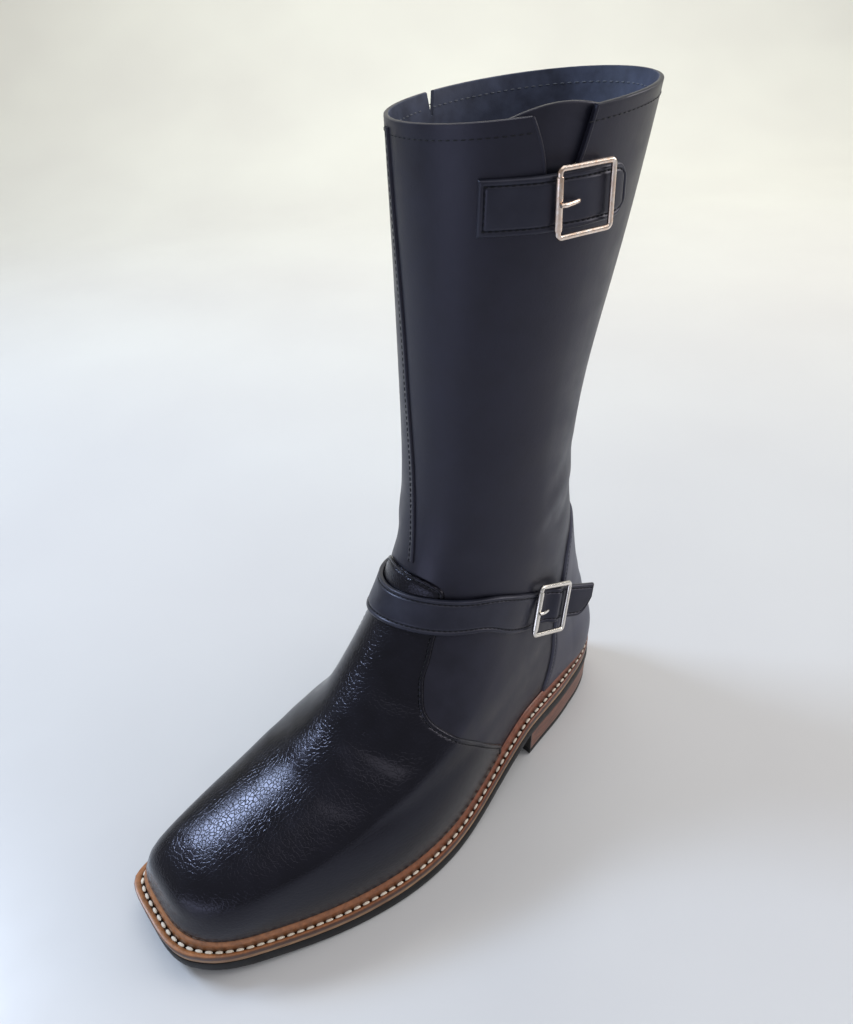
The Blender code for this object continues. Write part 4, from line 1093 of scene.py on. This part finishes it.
def make_top_strap(sizes):
    thick = sizes.strap / MM
    low, high = TOP_STRAP_Z
    angle, lift = np.array(TOP_STRAP, float).T
    heights = (high, (low + high) / 2, low)
    top, middle, bottom = (on_form(angle, np.full(len(angle), z), lift + thick) for z in heights)
    end = np.array(TOP_STRAP_END)
    upper_edge = np.column_stack([end[:, :2], high - end[:, 2]])
    lower_edge = np.column_stack([end[:, :2], low + end[:, 2]])
    top = np.concatenate([top, upper_edge])
    bottom = np.concatenate([bottom, lower_edge])
    middle = np.concatenate([middle, (upper_edge + lower_edge) / 2])
    strap, data = strip("top_strap_leather", top, middle, bottom, thick, MATERIALS["strap"], rows=90)
    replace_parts(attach(strap, BODY), "top_strap")
    lines = border_line(data, GROOVE_INSET, -0.35)
    stitches("top_strap_stitches", lines, *TOP_STRAP_STITCH, MATERIALS["black_thread"])


def make_buckle(name, size, prong, finish):
    """A rounded frame of wire with a roller on its front bar, and its prong."""
    out, side, up = frame_axes(size["turn"], size["lean"], size["roll"])
    centre = np.array(size["centre"])
    wide = (size["width"] - size["wire"]) / 2 - BUCKLE_CORNER
    high = (size["height"] - size["wire"]) / 2 - BUCKLE_CORNER
    path = []
    for corner, (across, upward) in enumerate(((1, 1), (-1, 1), (-1, -1), (1, -1))):
        turn = np.radians(90 * corner + np.linspace(0, 90, 9))[:, None]
        path.append(
            centre + side * (across * wide + BUCKLE_CORNER * np.cos(turn))
            + up * (upward * high + BUCKLE_CORNER * np.sin(turn))
        )
    path = np.concatenate(path)
    path = np.concatenate([
        np.linspace(a, b, 8, endpoint=False) if np.linalg.norm(b - a) > 5 else [a]
        for a, b in zip(path, np.roll(path, -1, 0))
    ])
    ring = wire(name + "_frame", path, size["wire"] / 2, [finish], closed=True, sides=16, up=out)
    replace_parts(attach(ring, BODY), name)
    bar = centre - side * (wide + BUCKLE_CORNER)
    reach = high + BUCKLE_CORNER - 2.6
    ends = np.array([-1, -0.97, -0.94, 0, 0.94, 0.97, 1])
    swell = np.array([0.25, 0.36, 0.4, 0.4, 0.4, 0.36, 0.25])
    sleeve = wire(
        name + "_roller", bar + ends[:, None] * reach * up, size["wire"] / 2 + swell, [finish], sides=20,
        up=out
    )
    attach(sleeve, BODY)
    root, tip = (np.array(end) for end in prong)
    t = np.linspace(0, 1, 16)[:, None]
    body = root * (1 - t) + tip * t + out * 3.2 * 0.8 * t * (1 - t)
    radius = np.interp(t[:, 0], (0, 0.1, 0.8, 1), (0.5, 0.95, 1.05, 0.7))
    pin = wire(name + "_pin", body, radius, [finish], sides=12, up=out)
    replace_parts(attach(pin, BODY), name + "_prong")


def make_front_seam():
    """Raised seam up the front of the shaft, beside a stitched groove."""
    heights, across = zip(*FRONT_SEAM)
    z = np.linspace(heights[0], heights[-1], 130)
    line = spline(heights, across, z)

    offsets, lifts = np.array(SEAM_PROFILE).T
    low, high = np.full((len(z), len(offsets)), -60.0), np.full((len(z), len(offsets)), 60.0)
    for _ in range(16):
        middle = (low + high) / 2
        left = at_angle(middle, z[:, None])[..., 0] < line[:, None] + offsets
        low, high = np.where(left, middle, low), np.where(left, high, middle)
    height = np.broadcast_to(z[:, None], low.shape)
    outer, inner = on_skin(low, height, lifts), on_skin(low, height, -0.3)
    seam = closed_sheet("front_seam_ridge", outer, inner, [MATERIALS["shaft"]])
    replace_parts(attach(seam, BODY), "front_seam")
    theta = np.radians(low[:, SEAM_STITCH])
    level = level_at(theta, z)
    path, out = skin(level, theta, 0.6), normals(level, theta)
    stitches("front_seam_stitches", [(path, out, False)], *SEAM_STITCH_SIZE, MATERIALS["black_thread"])


def make_gusset(sizes):
    """Panel inside the notch, with a bound top edge."""
    lift = -(sizes.wall / MM + 0.5)
    angle = np.linspace(*GUSSET_ANGLES, 60)
    z = np.concatenate([np.linspace(GUSSET_Z[0], GUSSET_Z[1], 30), np.full(6, GUSSET_Z[1])])[:, None]
    rise = np.append(np.zeros(30), (2.0, 4.0, 5.4, 6.0, 6.3, 6.4))[:, None]
    drop = np.append(np.zeros(33), (0.05, 0.25, 0.7))[:, None]
    rise = rise * np.sin(np.pi * (0.12 + 0.76 * (angle - angle[0]) / (angle[-1] - angle[0])))
    above = rise[..., None] * np.array([0.0, 0.0, 1.0])
    angle, z = np.broadcast_arrays(angle, z)
    outer = on_form(angle, z, np.broadcast_to(lift - drop, z.shape)) + above
    inner = on_form(angle, z, np.full(z.shape, lift - 1.5)) + above
    panel = closed_sheet("gusset_panel", outer, inner, [MATERIALS["shaft"]])
    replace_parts(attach(panel, BODY), "gusset")


def make_collar_stitches(sizes):
    """Stitch rows below the collar's edge, outside and inside."""
    wall = sizes.wall / MM
    lines = {"outer": [], "inner": []}
    for name, lift, drop, spans in (
        ("outer", 0.12, 5.0, ((-72, 52), (76, 278))),
        ("inner", -wall - 0.12, 6.0, ((-72, 44), (90, 278))),
    ):
        for start, end in spans:
            angle = np.linspace(start, end, 220)
            theta = np.radians(angle)
            top = form(np.full(220, TOP), theta)[:, 2]
            level = level_at(theta, top - drop)
            out = normals(level, theta) * (1 if name == "outer" else -1)
            lines[name].append((skin(level, theta, lift), out, False))
    stitches("collar_outer_stitches", lines["outer"], *COLLAR_STITCH, MATERIALS["black_thread"])
    stitches("collar_lining_stitches", lines["inner"], *LINING_STITCH, MATERIALS["grey_thread"])


def sole_loop(inset, height, angles):
    x, y = plan(SOLE, angles)
    edge = np.stack([x, y], -1)
    along = np.roll(edge, -1, 0) - np.roll(edge, 1, 0)
    inward = unit(np.stack([-along[:, 1], along[:, 0]], -1))
    edge = edge + inset * inward
    return np.column_stack([edge, ground(edge[:, 1]) + height])


def sole_angles(count):
    """Angles evenly spaced along the sole's edge, mirrored about its length."""
    fine = np.linspace(0, np.pi, 3000)
    x, y = plan(SOLE, fine)
    length = np.append(0, np.cumsum(np.hypot(np.diff(x), np.diff(y))))
    half = np.interp(np.linspace(0, length[-1], count // 2 + 1), length, fine)
    return np.concatenate([half, 2 * np.pi - half[-2:0:-1]])


def heel_loop(inset, z):
    quarter = np.linspace(0, np.pi / 2, 60)
    back = SOLE["y_back"] - inset
    y = HEEL_BREAST_Y + (back - HEEL_BREAST_Y) * np.sin(quarter)
    shape = dict(SOLE, y_back=back)
    middle = centre_x(shape, y)
    wide_out = half_width(shape, y, np.ones(len(y))) - inset * np.cos(quarter)
    wide_in = half_width(shape, y, -np.ones(len(y))) - inset * np.cos(quarter)
    right = np.column_stack([middle + wide_out, y])
    left = np.column_stack([middle - wide_in, y])[-2::-1]
    first = [[float(centre_x(SOLE, np.array(HEEL_BREAST_Y))), HEEL_BREAST_Y]]
    loop = np.concatenate([first, right, left])
    return np.column_stack([loop, np.full(len(loop), z)])


def make_sole():
    angles = sole_angles(360)
    outsole = capped_loops(
        "outsole_rubber",
        [
            sole_loop(2.6, 0, angles), sole_loop(1.0, 0.1, angles), sole_loop(0.35, 0.4, angles),
            sole_loop(0, 1.1, angles), sole_loop(0, 3.2, angles), sole_loop(0, OUTSOLE_TOP - 0.9, angles),
            sole_loop(0.3, OUTSOLE_TOP - 0.2, angles), sole_loop(0.8, OUTSOLE_TOP, angles),
        ],
        [MATERIALS["rubber"]],
    )
    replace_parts(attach(outsole, BODY), "outsole")
    midsole = capped_loops(
        "midsole_edge",
        [
            sole_loop(0.9, MIDSOLE_BOTTOM, angles), sole_loop(0.5, MIDSOLE_BOTTOM + 0.4, angles),
            sole_loop(0.5, MIDSOLE_TOP - 0.4, angles), sole_loop(0.9, MIDSOLE_TOP, angles),
        ],
        [MATERIALS["midsole"]],
    )
    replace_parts(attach(midsole, BODY), "midsole")
    seat = HEEL_HEIGHT - 0.2
    stack = capped_loops(
        "stacked_heel",
        [heel_loop(1.3, TOP_LIFT_HEIGHT + 0.2), heel_loop(1.2, TOP_LIFT_HEIGHT + 0.6), heel_loop(0.9, 11.5),
         heel_loop(0.5, seat - 0.3), heel_loop(0.8, seat)],
        [MATERIALS["stack"]],
    )
    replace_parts(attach(stack, BODY), "heel_stack")
    lift = capped_loops(
        "top_lift_rubber",
        [heel_loop(1.9, 0), heel_loop(1.5, 0.25), heel_loop(1.3, 0.8), heel_loop(1.3, TOP_LIFT_HEIGHT - 0.3),
         heel_loop(1.5, TOP_LIFT_HEIGHT)],
        [MATERIALS["rubber"]],
    )
    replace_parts(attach(lift, BODY), "top_lift")
    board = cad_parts["insole"]
    board.data.materials.clear()
    board.data.materials.append(MATERIALS["insole"])


def make_welt(sizes):
    """Storm welt with its ridge, groove and cream stitches."""
    count = 420
    angles, _ = even_angles(np.zeros(1), np.zeros(1), np.full(1, 2 * np.pi), np.arange(count)[None] / count)
    angles = angles[0]
    foot = form(0.0, angles)[:, :2] + 0.35 * normals(0.0, angles)[:, :2]
    fine = sole_angles(2400)
    edge_line = np.stack(plan(SOLE, fine), -1)
    edge = edge_line[np.array([np.argmin(np.linalg.norm(edge_line - p, axis=1)) for p in foot])]
    for _ in range(12):
        edge = (np.roll(edge, 1, 0) + 2 * edge + np.roll(edge, -1, 0)) / 4
    edge = edge_line[np.array([np.argmin(np.linalg.norm(edge_line - p, axis=1)) for p in edge])]

    def at(share, height):
        spot = foot + (edge - foot) * share
        return np.column_stack([spot, ground(spot[:, 1]) + height])

    loops = [at(share, height) for share, height in WELT_PROFILE]
    loops += [form(level, angles) + lift * normals(level, angles) for level, lift in WELT_SEAT]
    shares = [share for share, _ in WELT_PROFILE] + [0.0] * len(WELT_SEAT)
    welt = ring_sheet("storm_welt", loops, [MATERIALS["welt"]], shares)
    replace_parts(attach(welt, BODY), "welt")
    line = at(STITCH_SHARE, STITCH_HEIGHT)
    upright = np.tile([0.0, 0.0, 1.0], (count, 1))
    pitch = sizes.stitch_pitch / MM
    stitches("welt_stitches", [(line, upright, True)], pitch, *WELT_STITCH_SIZE, MATERIALS["cream"])


def make_zip():
    """Zip tape and teeth on the inner side; the slider and its pull keep their solids."""
    heights, places = zip(*ZIP_LINE)
    z = np.linspace(heights[0], heights[-1], 160)
    y = spline(heights, places, z)

    def along(offset, lift):
        level, theta = side_place(y + offset, z, -1)
        return skin(level, theta, lift), normals(level, theta)

    profile = ((-4.6, 0.3), (-4.2, 0.85), (-2.6, 0.9), (-1.5, 0.75), (1.5, 0.75), (2.6, 0.9), (4.2, 0.85),
               (4.6, 0.3))
    outer = np.array([along(offset, lift)[0] for offset, lift in profile]).transpose(1, 0, 2)
    inner = np.array([along(offset, 0.1)[0] for offset, _ in profile]).transpose(1, 0, 2)
    tape = closed_sheet("zip_tape", outer, inner, [MATERIALS["tape"]])
    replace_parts(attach(tape, BODY), "zip")
    teeth = []
    for offset, first in ((-0.75, 0), (0.75, 4)):
        path, out = along(offset, 1.2)
        teeth.append((path[first:], out[first:], False))
    stitches("zip_teeth", teeth, *ZIP_TOOTH, MATERIALS["zip"])
    edges = []
    for offset in (-5.6, 5.6):
        path, out = along(offset, 0.1)
        edges.append((path, out, False))
    stitches("zip_stitches", edges, *STRAP_STITCH, MATERIALS["black_thread"])
    for node in ("zip_slider", "zip_pull"):
        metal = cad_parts[node]
        metal.data.materials.clear()
        metal.data.materials.append(MATERIALS["zip"])


def placed_matrix(right, up, back, spot):
    """Matrix of an object from its axes and its place, in metres."""
    axes = np.column_stack([right, up, back]).tolist()
    return Matrix([(*row, float(at)) for row, at in zip(axes, spot)] + [(0, 0, 0, 1)])


def make_stage():
    """Polished pale floor that sweeps up into a cream wall, soft lights, and the camera."""
    made, tree, shader = new_material("polished pale floor", Roughness=0.32, Specular_IOR_Level=0.4)
    here = place(tree)
    parts = add(tree, "ShaderNodeSeparateXYZ", {"Vector": here})
    depth = add(tree, "ShaderNodeMath", {0: parts.outputs["X"], 1: -0.62}, operation="MULTIPLY")
    way = add(
        tree, "ShaderNodeMath", {0: parts.outputs["Y"], 1: 0.78, 2: depth.outputs[0]},
        operation="MULTIPLY_ADD"
    )
    span = add(tree, "ShaderNodeMapRange", {"Value": way.outputs[0], "From Min": -0.3, "From Max": 1.6})
    cloud = add(tree, "ShaderNodeTexNoise", {"Vector": here, "Scale": 1 / 0.35, "Detail": 2.0})
    shade = ramp(tree, span.outputs["Result"], (
        (0.0, colour("D2D3D6")), (0.3, colour("D4D5D6")), (0.6, colour("E2E1DC")), (1.0, colour("F4F4EA")),
    ))
    soft = ramp(tree, cloud.outputs["Fac"], ((0.3, colour("F2F0F2")), (0.7, colour("FFFFFF"))))
    tree.links.new(multiplied(tree, 0.6, shade, soft), shader.inputs["Base Color"])
    rub = add(tree, "ShaderNodeTexNoise", {"Vector": here, "Scale": 1 / 0.03, "Detail": 5.0})
    gloss = add(tree, "ShaderNodeMapRange", {"Value": rub.outputs["Fac"], "To Min": 0.24, "To Max": 0.42})
    tree.links.new(gloss.outputs["Result"], shader.inputs["Roughness"])

    bend = np.linspace(0, np.pi / 2, 24)
    sweep = [(FLOOR_RUN + SWEEP_RADIUS * np.sin(a), SWEEP_RADIUS * (1 - np.cos(a))) for a in bend]
    profile = [(FLOOR_FRONT, 0.0), (0.0, 0.0), *sweep, (FLOOR_RUN + SWEEP_RADIUS, WALL_HEIGHT)]
    away = np.array([-np.sin(np.radians(CAMERA_PAN)), np.cos(np.radians(CAMERA_PAN))])
    across = np.array([away[1], -away[0]])
    points = []
    for reach, height in profile:
        for side in (-FLOOR_HALF_WIDTH, FLOOR_HALF_WIDTH):
            spot = away * reach + across * side
            points.append((spot[0], spot[1], height - FLOOR_DROP))
    mesh = bpy.data.meshes.new("studio floor")
    mesh.from_pydata(points, [], [(2 * i, 2 * i + 1, 2 * i + 3, 2 * i + 2) for i in range(len(profile) - 1)])
    mesh.materials.append(made)
    mesh.shade_smooth()
    floor = bpy.data.objects.new("studio_floor", mesh)
    bpy.context.scene.collection.objects.link(floor)

    bpy.context.scene.view_settings.view_transform = "Standard"
    world = bpy.data.worlds.new("soft room light")
    world.use_nodes = True
    world.node_tree.nodes["Background"].inputs["Color"].default_value = colour("F4F6FA")
    world.node_tree.nodes["Background"].inputs["Strength"].default_value = 0.38
    bpy.context.scene.world = world
    for name, spot, aim, width, height, power, tint in (
        ("window light", (-1.0, -0.7, 1.2), (0, -0.2, 0.06), 0.42, 0.36, 15.0, "D2E6FF"),
        ("ceiling light", (0.7, 0.3, 2.3), (0.2, 0, 0), 2.4, 2.4, 17.0, "FFFCF8"),
        ("back light", (0.9, 1.5, 1.0), (0.1, 0.1, 0.0), 1.4, 0.9, 16.0, "FFFAF4"),
        ("wall light", (-0.7, 0.55, 2.1), (-1.9, 1.5, 0.4), 1.6, 0.8, 18.0, "FFFCF4"),
        ("front fill", (0.35, -2.4, 0.3), (0, 0, 0.3), 1.6, 0.7, 6.0, "DEE6FF"),
    ):
        light = bpy.data.lights.new(name, "AREA")
        light.shape = "RECTANGLE"
        light.size, light.size_y = width, height
        light.energy = power
        light.color = colour(tint)[:3]
        lamp = bpy.data.objects.new(name, light)
        spot, aim = np.array(spot), np.array(aim)
        back = unit(spot - aim)
        right = unit(np.cross([0, 0, 1.0], back))
        up = np.cross(back, right)
        lamp.matrix_world = placed_matrix(right, up, back, spot)
        bpy.context.scene.collection.objects.link(lamp)

    pan, tilt, roll = np.radians([CAMERA_PAN, CAMERA_TILT, CAMERA_ROLL])
    forward = np.array([-np.sin(pan) * np.cos(tilt), np.cos(pan) * np.cos(tilt), -np.sin(tilt)])
    level = np.array([np.cos(pan), np.sin(pan), 0])
    upright = np.cross(level, forward)
    right = level * np.cos(roll) + upright * np.sin(roll)
    up = -level * np.sin(roll) + upright * np.cos(roll)
    lens = bpy.data.cameras.new("photo camera")
    lens.sensor_fit = "VERTICAL"
    lens.sensor_height = 36.0
    lens.lens = CAMERA_LENS
    lens.clip_start = 0.02
    camera = bpy.data.objects.new("photo camera", lens)
    camera.matrix_world = placed_matrix(right, up, -forward, CAMERA_PLACE)
    bpy.context.scene.collection.objects.link(camera)
    bpy.context.scene.camera = camera


class BootSizes(bpy.types.PropertyGroup):
    wall: bpy.props.FloatProperty(
        name="Wall", description="Thickness of the upper's leather and lining", default=0.0022, unit="LENGTH"
    )
    overlay: bpy.props.FloatProperty(
        name="Overlay", description="Thickness of the vamp and counter overlays", default=0.0012,
        unit="LENGTH"
    )
    strap: bpy.props.FloatProperty(
        name="Strap", description="Thickness of the straps", default=0.0022, unit="LENGTH"
    )
    stitch_pitch: bpy.props.FloatProperty(
        name="Welt Stitch Pitch", description="Distance from one welt stitch to the next", default=0.005,
        unit="LENGTH"
    )


def build_upper(sizes):
    make_upper(sizes)
    make_collar_stitches(sizes)
    make_gusset(sizes)


def build_overlays(sizes):
    thick = sizes.overlay / MM
    overlay("vamp_leather", VAMP_EDGE, 0.9, True, thick, MATERIALS["vamp"], "vamp", "vamp_leather")
    overlay(
        "counter_leather", COUNTER_EDGE, 0.9, False, thick, MATERIALS["counter"], "heel_counter",
        "counter_leather"
    )
    make_front_seam()


def build_straps(sizes):
    make_ankle_strap(sizes)
    make_top_strap(sizes)


def build_buckles(sizes):
    make_buckle("ankle_buckle", ANKLE_BUCKLE, ANKLE_PRONG, MATERIALS["silver"])
    make_buckle("top_buckle", TOP_BUCKLE, TOP_PRONG, MATERIALS["champagne"])


def step_operator(name, label, about, build):
    """An operator for one step of the building."""

    def execute(self, context):
        build(context.scene.boot_sizes)
        return {"FINISHED"}

    return type("BOOT_OT_" + name, (bpy.types.Operator,), {
        "__doc__": about, "bl_idname": "boot." + name, "bl_label": label, "execute": execute,
    })


STEPS = (
    ("stage", "Stage", "Floor, light and camera", lambda sizes: make_stage()),
    ("materials", "Finishes", "Leather, rubber, metal and thread finishes", lambda sizes: make_materials()),
    ("sole", "Sole and Heel", "Outsole, midsole, stacked heel and top lift", lambda sizes: make_sole()),
    ("welt", "Welt", "Storm welt and its stitches", make_welt),
    ("upper", "Upper", "Hollow leather upper with its lining, notch and collar stitches", build_upper),
    ("overlays", "Overlays", "Vamp, heel counter and front seam", build_overlays),
    ("straps", "Straps", "Ankle strap and top strap", build_straps),
    ("buckles", "Buckles", "Both buckles with their rollers and prongs", build_buckles),
    ("zip", "Zip", "Zip tape, teeth, slider and pull", lambda sizes: make_zip()),
)
OPERATORS = tuple(step_operator(*step) for step in STEPS)


class BOOT_PT_panel(bpy.types.Panel):
    """Sizes of the boot's pieces and the steps that build them"""
    bl_idname = "BOOT_PT_panel"
    bl_label = "Boot"
    bl_space_type = "VIEW_3D"
    bl_region_type = "UI"
    bl_category = "Boot"

    def draw(self, context):
        for name in BootSizes.__annotations__:
            self.layout.prop(context.scene.boot_sizes, name)
        for step in OPERATORS:
            self.layout.operator(step.bl_idname)


def register():
    for item in (BootSizes, *OPERATORS, BOOT_PT_panel):
        bpy.utils.register_class(item)
    bpy.types.Scene.boot_sizes = bpy.props.PointerProperty(type=BootSizes)


def unregister():
    del bpy.types.Scene.boot_sizes
    for item in (BOOT_PT_panel, *reversed(OPERATORS), BootSizes):
        bpy.utils.unregister_class(item)


def main():
    register()
    for name, *_ in STEPS:
        getattr(bpy.ops.boot, name)()


if __name__ == "__main__":
    main()
